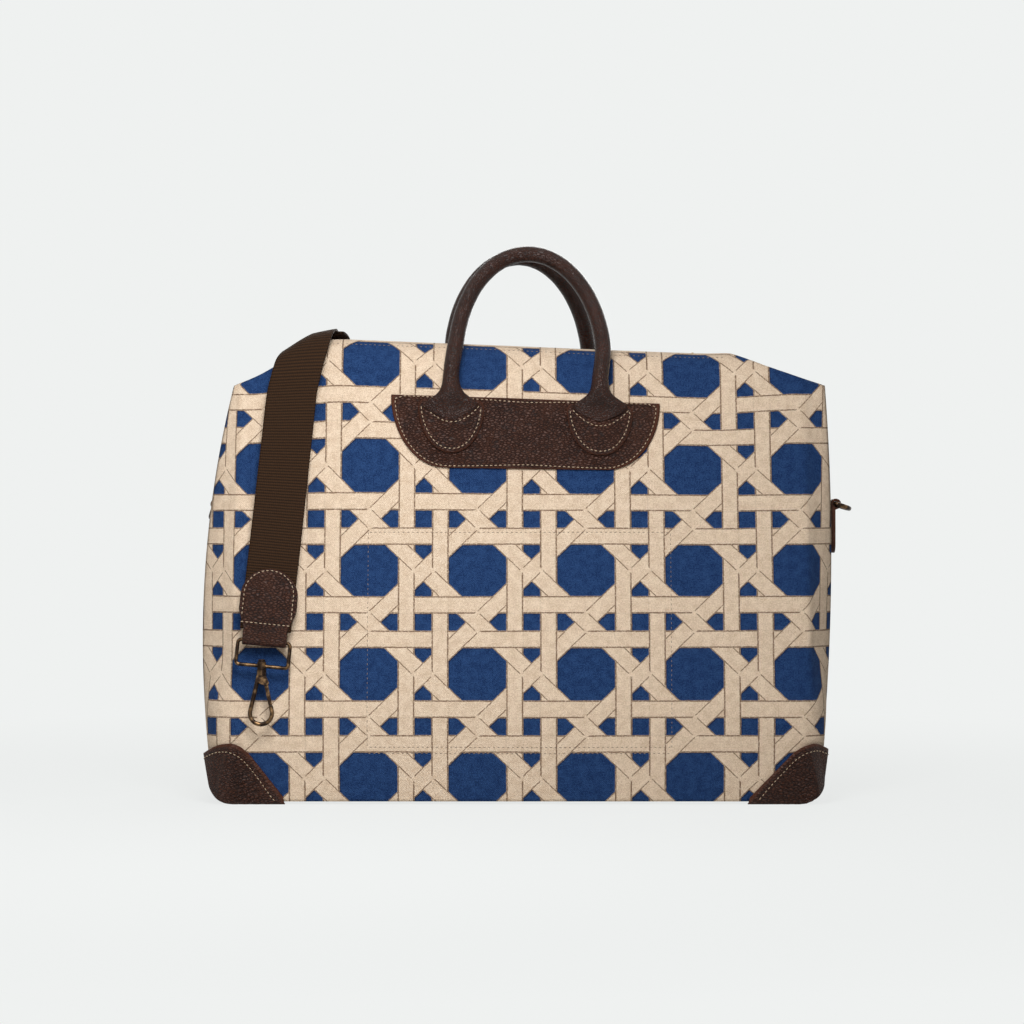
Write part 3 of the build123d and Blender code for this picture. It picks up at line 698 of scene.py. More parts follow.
@dataclass(frozen=True)
class CaneCloth(Finish):
    """Woven cotton with a cream cane pattern on blue."""

    cream: Colour = srgb(230, 209, 185)
    cream_low: Colour = srgb(204, 179, 153)
    blue: Colour = srgb(40, 69, 114)
    blue_low: Colour = srgb(20, 44, 84)
    line: Colour = srgb(122, 98, 78)
    navy: Colour = srgb(17, 28, 52)
    pitch: float = 0.9 * MM
    tone_span: tuple[float, float] = (0.4, 0.6)
    wobble_rate: float = 420.0
    wobble: float = 0.008
    shadow_shift: tuple[float, float, float] = (-0.009, 0.009, 0.0)
    shadow_share: float = 0.75
    line_rate: float = 700.0
    line_span: tuple[float, float] = (0.3, 0.5)
    line_least: float = 0.45
    groove: float = -0.6
    roughness: float = 0.85
    specular: float = 0.1
    sheen: float = 0.03
    depth: float = 0.25 * MM
    bump_share: float = 0.7

    def build(self) -> bpy.types.Material:
        """Make the material.

        Returns:
            The material, which reads the UV map named cane, in tiles.
        """
        material, net, shader = self.start()
        uv = net.add("ShaderNodeUVMap", uv_map="cane").outputs[0]
        size = net.vector("MULTIPLY", uv, (*CANE_TILE, 1.0))
        wobble = net.colour_noise(size, self.wobble_rate, 1.0)
        centred = net.vector("SUBTRACT", wobble, (0.5, 0.5, 0.5))
        place = net.vector("ADD", uv, net.scaled(centred, self.wobble))
        cane = net.group(CANE, {"Vector": place})
        shade = net.group(CANE, {"Vector": net.vector("ADD", place, self.shadow_shift)})
        weave = net.group(WEAVE, {"Vector": size, "Pitch": self.pitch})
        tone = net.spread(weave.outputs["Tone"], *self.tone_span)
        cream = net.mix(tone, self.cream_low, self.cream)
        blue = net.mix(tone, self.blue_low, self.blue)
        blue = net.mix(net.product(shade.outputs["Cover"], self.shadow_share), blue, self.navy)
        stitched = net.spread(net.noise(size, self.line_rate, 1.0), *self.line_span, self.line_least)
        cream = net.mix(net.product(cane.outputs["Line"], stitched), cream, self.line)
        colour = net.mix(cane.outputs["Cover"], blue, cream)
        self.link(net, colour, shader, "Base Color")
        self.even(shader, Roughness=self.roughness, Specular_IOR_Level=self.specular)
        self.even(shader, Sheen_Weight=self.sheen)
        raised = net.math("ADD", weave.outputs["Height"], cane.outputs["Cover"])
        height = net.blend(raised, 1.0, cane.outputs["Line"], self.groove)
        self.bump(net, shader, height, self.depth, self.bump_share)
        return material


@dataclass(frozen=True)
class GrainLeather(Finish):
    """Dark brown pebbled leather, semi-gloss, with burnished cut edges, and with painted shade in the
    grain's grooves and a painted highlight on its pebble tops.
    """

    # high is the pebble tops' colour with a painted highlight, low the grooves' colour with painted shade;
    # broad random tone also mixes them.
    high: Colour = srgb(68, 38, 25)
    low: Colour = srgb(26, 12, 8)
    rim: Colour = srgb(72, 38, 23)
    scale: float = 480.0
    depth: float = 0.8 * MM
    gloss: tuple[float, float] = (0.55, 0.32)
    shine: float = 0.17
    tone_span: tuple[float, float] = (0.35, 0.85)
    wear_rate: float = 220.0
    wear_span: tuple[float, float] = (0.2, 0.7)
    wear_least: float = 0.65
    gloss_span: tuple[float, float] = (0.3, 1.2)
    rim_relief: float = 0.25
    bump_share: float = 0.8

    def build(self) -> bpy.types.Material:
        """Make the material.

        Returns:
            The material, which reads the attribute named rim.
        """
        material, net, shader = self.start()
        place = net.object_place()
        grain = net.group(GRAIN, {"Vector": place, "Scale": self.scale})
        # Painted highlight on pebble tops and painted shade in the grooves, by the grain's tone.
        colour = net.mix(net.spread(grain.outputs["Tone"], *self.tone_span), self.low, self.high)
        rim = net.add("ShaderNodeAttribute", attribute_name="rim").outputs["Fac"]
        wear = net.spread(net.noise(place, self.wear_rate, 2.0), *self.wear_span, self.wear_least)
        self.link(net, net.mix(net.product(rim, wear), colour, self.rim), shader, "Base Color")
        rough = net.spread(grain.outputs["Height"], *self.gloss_span, *self.gloss)
        self.link(net, rough, shader, "Roughness")
        self.even(shader, Specular_IOR_Level=self.shine)
        relief = net.spread(rim, 0.0, 1.0, 1.0, self.rim_relief)
        self.bump(net, shader, net.product(grain.outputs["Height"], relief), self.depth, self.bump_share)
        return material


@dataclass(frozen=True)
class RibbedWebbing(Finish):
    """Brown strap webbing with level ribs and fine columns; the ribs' crests are painted lighter and the
    grooves between them painted darker.
    """

    # high is the painted light on rib crests, low the painted shade in the grooves; fuzz noise also mixes
    # them.
    high: Colour = srgb(64, 42, 24)
    low: Colour = srgb(24, 14, 7)
    rib: float = 2.3 * MM
    column: float = 1.5 * MM
    column_share: float = 0.35
    fuzz_rate: float = 1500.0
    rib_shading_tone: float = 0.5
    fuzz_tone: float = 0.4
    tone_span: tuple[float, float] = (0.2, 0.95)
    roughness: float = 0.78
    specular: float = 0.12
    depth: float = 0.45 * MM
    bump_share: float = 0.8

    def build(self) -> bpy.types.Material:
        """Make the material.

        Returns:
            The material, which reads the UV map named web, in metres.
        """
        material, net, shader = self.start()
        uv = net.add("ShaderNodeUVMap", uv_map="web").outputs[0]
        parts = net.add("ShaderNodeSeparateXYZ", {0: uv})
        waves = []
        for axis, pitch in enumerate((self.column, self.rib)):
            wave = net.math("SINE", net.math("MULTIPLY", parts.outputs[axis], TURN / pitch))
            waves.append(net.spread(wave, -1.0, 1.0))
        column, rib = waves
        fuzz = net.noise(uv, self.fuzz_rate, 2.0)
        height = net.blend(rib, 1.0, column, self.column_share)
        # Tone follows the ribs' height: painted shade in the grooves and painted light on the crests, with
        # random fuzz.
        tone = net.spread(net.blend(height, self.rib_shading_tone, fuzz, self.fuzz_tone), *self.tone_span)
        self.link(net, net.mix(tone, self.low, self.high), shader, "Base Color")
        self.even(shader, Roughness=self.roughness, Specular_IOR_Level=self.specular)
        self.bump(net, shader, height, self.depth, self.bump_share)
        return material


@dataclass(frozen=True)
class AgedMetal(Finish):
    """Aged brass, darker in patches."""

    bright: Colour = srgb(124, 97, 68)
    dark: Colour = srgb(42, 32, 26)
    patch_rate: float = 180.0
    wear_span: tuple[float, float] = (0.44, 0.7)
    scratch_rate: float = 2600.0
    scratch_span: tuple[float, float] = (0.2, 0.8)
    gloss: tuple[float, float] = (0.22, 0.42)
    depth: float = 0.03 * MM
    bump_share: float = 0.5

    def build(self) -> bpy.types.Material:
        """Make the material."""
        material, net, shader = self.start()
        place = net.object_place()
        wear = net.spread(net.noise(place, self.patch_rate, 3.0), *self.wear_span)
        self.link(net, net.mix(wear, self.dark, self.bright), shader, "Base Color")
        scratch = net.noise(place, self.scratch_rate, 2.0)
        self.link(net, net.spread(scratch, *self.scratch_span, *self.gloss), shader, "Roughness")
        self.even(shader, Metallic=1.0)
        self.bump(net, shader, scratch, self.depth, self.bump_share)
        return material


@dataclass(frozen=True)
class PlainCloth(Finish):
    """Plain woven cloth or tape of one colour."""

    colour: Colour = srgb(60, 42, 32)
    low: Colour = srgb(36, 24, 18)
    pitch: float = 0.8 * MM
    tone_span: tuple[float, float] = (0.3, 0.7)
    roughness: float = 0.85
    depth: float = 0.2 * MM
    bump_share: float = 0.7

    def build(self) -> bpy.types.Material:
        """Make the material."""
        material, net, shader = self.start()
        weave = net.group(WEAVE, {"Vector": net.object_place(), "Pitch": self.pitch})
        colour = net.mix(net.spread(weave.outputs["Tone"], *self.tone_span), self.low, self.colour)
        self.link(net, colour, shader, "Base Color")
        self.even(shader, Roughness=self.roughness)
        self.bump(net, shader, weave.outputs["Height"], self.depth, self.bump_share)
        return material


@dataclass(frozen=True)
class Thread(Finish):
    """Waxed sewing thread."""

    colour: Colour = srgb(206, 184, 156)
    low: Colour = srgb(150, 124, 98)
    twist_rate: float = 1800.0
    tone_span: tuple[float, float] = (0.3, 0.7)
    roughness: float = 0.6
    depth: float = 0.1 * MM
    bump_share: float = 0.6

    def build(self) -> bpy.types.Material:
        """Make the material."""
        material, net, shader = self.start()
        twist = net.noise(net.object_place(), self.twist_rate, 1.0)
        colour = net.mix(net.spread(twist, *self.tone_span), self.low, self.colour)
        self.link(net, colour, shader, "Base Color")
        self.even(shader, Roughness=self.roughness)
        self.bump(net, shader, twist, self.depth, self.bump_share)
        return material


@dataclass
class Finishes:
    """All the bag's finishes."""

    cloth: bpy.types.Material = field(default_factory=CaneCloth("cane_cloth").build)
    leather: bpy.types.Material = field(default_factory=GrainLeather("brown_leather").build)
    rolled: bpy.types.Material = field(
        default_factory=GrainLeather(
            "rolled_leather",
            # Painted highlight on pebble tops and painted shade in the grooves, as in brown_leather.
            high=srgb(60, 31, 20),
            low=srgb(24, 11, 7),
            scale=640.0,
            depth=0.4 * MM,
            gloss=(0.34, 0.18),
            shine=0.19,
        ).build
    )
    webbing: bpy.types.Material = field(default_factory=RibbedWebbing("strap_webbing").build)
    clip: bpy.types.Material = field(default_factory=AgedMetal("clip_brass").build)
    zip_metal: bpy.types.Material = field(
        default_factory=AgedMetal("zip_brass", srgb(176, 140, 88), srgb(96, 74, 46)).build
    )
    tape: bpy.types.Material = field(default_factory=PlainCloth("zip_tape").build)
    lining: bpy.types.Material = field(
        default_factory=PlainCloth("lining_cloth", srgb(186, 164, 132), srgb(150, 128, 100)).build
    )
    board: bpy.types.Material = field(
        default_factory=PlainCloth("base_board", srgb(58, 56, 54), srgb(42, 40, 39)).build
    )
    thread: bpy.types.Material = field(default_factory=Thread("cream_thread").build)
    cloth_thread: bpy.types.Material = field(
        default_factory=Thread("cloth_thread", srgb(150, 130, 112), srgb(104, 90, 82)).build
    )


def finished(name: str, bm: bmesh.types.BMesh, material: bpy.types.Material) -> bpy.types.Object:
    """Object made of a bmesh, smooth shaded.

    Args:
        name: The piece's name.
        bm: The shape, which is freed.
        material: The piece's material.

    Returns:
        The object.
    """
    mesh = bpy.data.meshes.new(name)
    bm.to_mesh(mesh)
    bm.free()
    mesh.materials.append(material)
    mesh.polygons.foreach_set("use_smooth", [True] * len(mesh.polygons))
    piece = bpy.data.objects.new(name, mesh)
    bpy.context.scene.collection.objects.link(piece)
    return piece


def thicken(piece: bpy.types.Object, thickness: float) -> None:
    """Give a sheet its thickness, inwards, with a Solidify modifier."""
    wall = piece.modifiers.new("thickness", "SOLIDIFY")
    wall.thickness = thickness
    wall.offset = -1.0
    wall.use_even_offset = True


def settle(piece: bpy.types.Object, body: str, slot: str, *nodes: str) -> bpy.types.Object:
    """Put a piece on its body, and hide the nodes that it stands for."""
    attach(piece, body)
    if nodes:
        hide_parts(*nodes)
    log.info("%s: %d faces", piece.name, len(piece.data.polygons))
    return piece


def grid_piece(
    name: str,
    cuts: tuple[int, int],
    shape: Callable[[float, float], Placed],
    material: bpy.types.Material,
    uv_name: str,
) -> bpy.types.Object:
    """Sheet made of a grid whose points are carried to their places.

    Args:
        name: The piece's name.
        cuts: Faces across and along.
        shape: Gives a point and its pattern place from two shares of -1 to 1.
        material: The piece's material.
        uv_name: Name of the UV map that holds the pattern places.

    Returns:
        The object.
    """
    bm = bmesh.new()
    bmesh.ops.create_grid(bm, x_segments=cuts[0], y_segments=cuts[1], size=1.0)
    layer = bm.loops.layers.uv.new(uv_name)
    bm.verts.index_update()
    places = []
    for vert in bm.verts:
        vert.co, place = shape(vert.co.x, vert.co.y)
        places.append(place)
    for face in bm.faces:
        for loop in face.loops:
            loop[layer].uv = places[loop.vert.index]
    return finished(name, bm, material)


def spaced(points: Sequence[Vector], pitch: float) -> list[tuple[Vector, Vector]]:
    """Even places along a line of points.

    Args:
        points: The line.
        pitch: Distance from place to place.

    Returns:
        Each place with the line's direction there.
    """
    found = []
    left = pitch / 2
    for start, end in zip(points, points[1:]):
        run = end - start
        length = run.length
        while left <= length and length > 0:
            found.append((start + run * (left / length), run / length))
            left += pitch
        left -= length
    return found


@dataclass(frozen=True)
class Stitching:
    """A row of sewn stitches, each a small rounded thread."""

    length: float = 2.6 * MM
    gap: float = 1.1 * MM
    radius: float = 0.42 * MM

    def sew(
        self, name: str, lines: Iterable[Sequence[Vector]], material: bpy.types.Material
    ) -> bpy.types.Object:
        """Sew rows along lines that lie on a surface.

        Args:
            name: The piece's name.
            lines: Lines of points.
            material: The thread.

        Returns:
            The rows, as one object.
        """
        bm = bmesh.new()
        size = Matrix.Diagonal((self.length / 2, self.radius, self.radius, 1.0))
        for line in lines:
            for place, way in spaced(line, self.length + self.gap):
                turn = way.to_track_quat("X", "Z").to_matrix().to_4x4()
                matrix = Matrix.Translation(place) @ turn @ size
                bmesh.ops.create_icosphere(bm, subdivisions=1, radius=1.0, matrix=matrix)
        return finished(name, bm, material)


@dataclass
class ClothBody:
    """Cloth panels, gussets and base with their seams."""

    finishes: Finishes
    thickness: float = 2.0 * MM
    panel_cuts: tuple[int, int] = (190, 150)
    gusset_cuts: tuple[int, int] = (44, 130)
    base_cuts: tuple[int, int] = (90, 40)
    pattern_across: float = -123 * MM
    pattern_height: float = 187.6 * MM
    gusset_shift: float = 20 * MM
    sag: float = 5.0 * MM
    sag_ends: tuple[float, float] = (0.15, 0.2)
    lining_panel_cuts: tuple[int, int] = (80, 70)
    lining_gusset_cuts: tuple[int, int] = (16, 50)
    lining_depth: float = 4.5 * MM
    lining_foot: float = 8 * MM
    lining_panel_trim: float = 9 * MM
    lining_gusset_trim: float = 14 * MM
    lining_share: float = 0.985
    pocket_cuts: tuple[int, int] = (60, 40)
    pocket_depth: float = 5.6 * MM
    pocket_wall: float = 1.0 * MM
    pocket_half: float = 121 * MM
    pocket_span: tuple[float, float] = (48 * MM, 217 * MM)

    def pattern(self, a: float, t: float) -> tuple[float, float]:
        """Place in the cane pattern of a point on a panel."""
        start = FORM.length_at(self.pattern_height)
        return (a - self.pattern_across) / CANE_TILE[0], (t - start) / CANE_TILE[1]

    def panel(self, name: str, face: Face) -> None:
        """Make the front or back panel."""
        def shape(s: float, r: float) -> Placed:
            """Point and pattern place of a grid point."""
            t = (r + 1) / 2 * FORM.length
            way = -face.value * s
            a = way * FORM.row(t, way)
            return face.place(FORM.point(a, t, 0.0, SEEDS[face])), self.pattern(a, t)

        piece = grid_piece(name, self.panel_cuts, shape, self.finishes.cloth, "cane")
        thicken(piece, self.thickness)
        settle(piece, "bag", "cane_cloth", name)

    def gusset(self, name: str, side: Side) -> None:
        """Make a side gusset, which sags in a little between its seams."""
        way = side.value

        def shape(s: float, r: float) -> Placed:
            """Point and pattern place of a grid point."""
            share = (r + 1) / 2
            z = FORM.base + share * (FORM.top - FORM.base)
            half = FORM.seam(z)
            inward = self.sag * (1 - s * s) ** 2
            inward *= smooth_step(0, self.sag_ends[0], share) * smooth_step(0, self.sag_ends[1], 1 - share)
            point = Vector((way * FORM.half_width(z, way), way * s * half, z))
            point.x -= way * (inward + FORM.tuck(point))
            point.z += FORM.droop(point.x, z)
            return point, self.pattern(s * half + self.gusset_shift, z)

        piece = grid_piece(name, self.gusset_cuts, shape, self.finishes.cloth, "cane")
        thicken(piece, self.thickness)
        settle(piece, "bag", "cane_cloth", name)

    def inner_bag(self) -> None:
        """Make the lining, which follows the panels and gussets inside them."""
        for face in Face:
            def panel(s: float, r: float) -> Placed:
                """Point of the lining inside a panel."""
                t = self.lining_foot + (r + 1) / 2 * (FORM.length - self.lining_panel_trim)
                way = -face.value * s
                a = self.lining_share * way * FORM.row(t, way)
                return face.place(FORM.point(a, t, -self.lining_depth, SEEDS[face])), (a, t)

            name = f"{face.name.lower()}_lining"
            piece = grid_piece(name, self.lining_panel_cuts, panel, self.finishes.lining, "cane")
            settle(piece, "bag", "lining_cloth", "lining")
        for side in Side:
            def gusset(s: float, r: float) -> Placed:
                """Point of the lining inside a gusset."""
                height = FORM.top - FORM.base - self.lining_gusset_trim
                z = FORM.base + self.lining_foot + (r + 1) / 2 * height
                width = FORM.half_width(z, side.value) - self.sag - self.lining_depth
                point = Vector((side.value * width, side.value * s * FORM.seam(z), z))
                return point, (point.y, z)

            name = f"{side.name.lower()}_lining"
            piece = grid_piece(name, self.lining_gusset_cuts, gusset, self.finishes.lining, "cane")
            settle(piece, "bag", "lining_cloth", "lining")

    def pocket(self) -> None:
        """Make the slip pocket, which lies against the front lining."""
        low = FORM.length_at(self.pocket_span[0])
        high = FORM.length_at(self.pocket_span[1])

        def shape(s: float, r: float) -> Placed:
            """Point of the pocket's cloth."""
            t = low + (r + 1) / 2 * (high - low)
            a = self.pocket_half * s
            return FORM.point(a, t, -self.pocket_depth, SEEDS[Face.FRONT]), (a, t)

        piece = grid_piece("inner_pocket", self.pocket_cuts, shape, self.finishes.lining, "cane")
        thicken(piece, self.pocket_wall)
        settle(piece, "bag", "lining_cloth", "inner_pocket")

    def base(self) -> None:
        """Make the base panel, level under the bag."""
        depth = FORM.section(0)[0]

        def shape(s: float, r: float) -> Placed:
            """Point and pattern place of a grid point."""
            half = FORM.half_width(FORM.base, s)
            point = Vector((s * half, -r * depth, FORM.base))
            point.z += FORM.tuck(point)
            return point, self.pattern(point.x, r * depth)

        piece = grid_piece("base_panel", self.base_cuts, shape, self.finishes.cloth, "cane")
        thicken(piece, self.thickness)
        settle(piece, "bag", "cane_cloth", "base_panel")

    def build(self) -> None:
        """Make the whole cloth body."""
        self.panel("front_panel", Face.FRONT)
        self.panel("back_panel", Face.BACK)
        self.gusset("right_gusset", Side.RIGHT)
        self.gusset("left_gusset", Side.LEFT)
        self.inner_bag()
        self.pocket()
        self.base()


@dataclass(frozen=True)
class Lamp:
    """Soft square lamp that faces a point."""

    name: str
    place: tuple[float, float, float]
    aim: tuple[float, float, float]
    size: float
    power: float

    def build(self) -> None:
        """Hang the lamp."""
        data = bpy.data.lights.new(self.name, "AREA")
        data.size = self.size
        data.energy = self.power
        lamp = bpy.data.objects.new(self.name, data)
        lamp.location = self.place
        way = Vector(self.aim) - Vector(self.place)
        lamp.rotation_euler = way.to_track_quat("-Z", "Y").to_euler()
        bpy.context.scene.collection.objects.link(lamp)


@dataclass
class Studio:
    """Camera, lights, floor and backdrop."""

    pixel: float = 0.8 * MM
    centre_pixel: float = 522.0
    floor_pixel: float = 805.0
    frame_pixels: float = 1024.0
    distance: float = 2.5
    sensor: float = 36.0
    far: float = 50.0
    pale: Colour = srgb(239, 241, 240)
    white: Colour = srgb(255, 255, 255)
    floor_half: float = 30.0
    shadow_reach: tuple[float, float] = (0.3, 1.1)
    shadow_glow: float = 0.88
    fill: float = 0.1
    lamps: tuple[Lamp, ...] = (
        Lamp("key", (-0.1, -0.8, 0.72), (-0.55, -0.1, 0.3), 0.45, 8.7),
        Lamp("top", (0.0, -0.6, 2.4), (0.0, 0.0, FORM.top / 2), 1.5, 5.0),
        Lamp("rear", (0.25, 1.6, 0.9), (0.0, 0.0, FORM.top / 2), 1.0, 15.0),
    )

    def camera(self) -> None:
        """Set the camera level in front of the bag."""
        data = bpy.data.cameras.new("camera")
        data.sensor_width = self.sensor
        data.lens = self.sensor * self.distance / (self.pixel * self.frame_pixels)
        data.clip_end = self.far
        camera = bpy.data.objects.new("camera", data)
        middle = self.frame_pixels / 2
        across = (middle - self.centre_pixel) * self.pixel
        height = (self.floor_pixel - middle) * self.pixel
        camera.location = (across, -FORM.belly_depth - self.distance, height)
        camera.rotation_euler = (math.pi / 2, 0.0, 0.0)
        bpy.context.scene.collection.objects.link(camera)
        bpy.context.scene.camera = camera

    def floor(self) -> None:
        """Lay a pale floor that keeps a faint shadow."""
        bm = bmesh.new()
        bmesh.ops.create_grid(bm, x_segments=1, y_segments=1, size=self.floor_half)
        material = bpy.data.materials.new("pale_floor")
        material.use_nodes = True
        net = Net(material.node_tree)
        net.tree.nodes.remove(net.tree.nodes["Principled BSDF"])
        matte = net.add("ShaderNodeBsdfDiffuse", {"Color": self.pale})
        glow = net.add("ShaderNodeEmission", {"Color": self.pale, "Strength": 1.0})
        place = net.object_place()
        far = net.add("ShaderNodeVectorMath", {0: place}, operation="LENGTH").outputs["Value"]
        share = net.product(net.seen(), net.spread(far, *self.shadow_reach, self.shadow_glow, 1.0))
        both = net.add("ShaderNodeMixShader", {0: share, 1: matte.outputs[0], 2: glow.outputs[0]})
        net.tree.links.new(both.outputs[0], net.tree.nodes["Material Output"].inputs["Surface"])
        finished("floor", bm, material)

    def world(self) -> None:
        """Light all round, seen as the pale backdrop."""
        world = bpy.data.worlds.new("studio")
        bpy.context.scene.world = world
        world.use_nodes = True
        net = Net(world.node_tree)
        for node in list(net.tree.nodes):
            net.tree.nodes.remove(node)
        fill = net.add("ShaderNodeBackground", {"Color": self.white, "Strength": self.fill})
        pale = net.add("ShaderNodeBackground", {"Color": self.pale, "Strength": 1.0})
        both = net.add("ShaderNodeMixShader", {0: net.seen(), 1: fill.outputs[0], 2: pale.outputs[0]})
        end = net.add("ShaderNodeOutputWorld")
        net.tree.links.new(both.outputs[0], end.inputs["Surface"])

    def build(self) -> None:
        """Set the whole studio."""
        self.camera()
        self.floor()
        self.world()
        for lamp in self.lamps:
            lamp.build()
        bpy.context.scene.view_settings.view_transform = "Standard"


@dataclass(frozen=True)
class Outline:
    """Closed outline of a flat piece, as lengths across and up from a point inside it."""

    points: tuple[tuple[float, float], ...]

    def reach(self, angle: float) -> float:
        """Distance from the inner point to the outline in a direction."""
        ray = (math.cos(angle), math.sin(angle))
        for start, end in zip(self.points, self.points[1:] + self.points[:1]):
            run = (end[0] - start[0], end[1] - start[1])
            cross = ray[0] * run[1] - ray[1] * run[0]
            if abs(cross) < SAME_PLACE**2:
                continue
            away = (start[0] * run[1] - start[1] * run[0]) / cross
            share = (start[0] * ray[1] - start[1] * ray[0]) / cross
            if away > 0 and -SAME_PLACE <= share <= 1 + SAME_PLACE:
                return away
        raise ValueError("the outline has a gap")


@dataclass
class LeatherSheet:
    """Cut piece of leather that lies on the bag, with a rounded, burnished edge."""

    name: str
    outline: Outline
    put: Callable[[float, float, float], Vector]
    lift: float
    thickness: float = 2.0 * MM
    edge: float = 0.5 * MM
    inset: float = 3.2 * MM
    segments: int = 96
    ring_shares: tuple[float, ...] = (0.2, 0.4, 0.58, 0.74, 0.86, 0.93, 0.965, 0.985, 1.0)
    round_span: tuple[float, float] = (0.96, 1.0)
    rim_span: tuple[float, float] = (0.955, 0.985)
    seam_steps: int = 160

    def at(self, angle: float, away: float, lift: float) -> Vector:
        """Point in a direction and at a distance from the inner point, above the sheet's underside."""
        return self.put(away * math.cos(angle), away * math.sin(angle), self.lift + lift)

    def build(self, material: bpy.types.Material, out: Vector) -> bpy.types.Object:
        """Make the sheet.

        Args:
            material: The leather.
            out: Direction away from the bag.

        Returns:
            The piece.
        """
        bm = bmesh.new()
        verts = [bm.verts.new((share, 0.0, 0.0)) for share in (0.0, *self.ring_shares)]
        edges = [bm.edges.new(pair) for pair in zip(verts, verts[1:])]
        bmesh.ops.spin(
            bm,
            geom=verts + edges,
            cent=(0.0, 0.0, 0.0),
            axis=UP,
            angle=TURN,
            steps=self.segments,
            use_merge=True,
        )
        bmesh.ops.remove_doubles(bm, verts=bm.verts, dist=SAME_PLACE)
        rim = bm.verts.layers.float.new("rim")
        for vert in bm.verts:
            share = vert.co.length
            angle = math.atan2(vert.co.y, vert.co.x)
            round_off = self.edge * smooth_step(*self.round_span, share)
            vert[rim] = smooth_step(*self.rim_span, share)
            vert.co = self.at(angle, share * self.outline.reach(angle), self.thickness - round_off)
        bm.normal_update()
        if sum(face.normal.dot(out) for face in bm.faces) < 0:
            bmesh.ops.reverse_faces(bm, faces=bm.faces)
        piece = finished(self.name, bm, material)
        thicken(piece, self.thickness)
        return piece

    def seam(self, start: float = 0.0, end: float = TURN) -> list[Vector]:
        """Line of the edge stitching between two directions."""
        line = []
        for step in range(self.seam_steps + 1):
            angle = start + (end - start) * step / self.seam_steps
            away = self.outline.reach(angle) - self.inset
            line.append(self.at(angle, away, self.thickness + STITCH_LIFT))
        return line


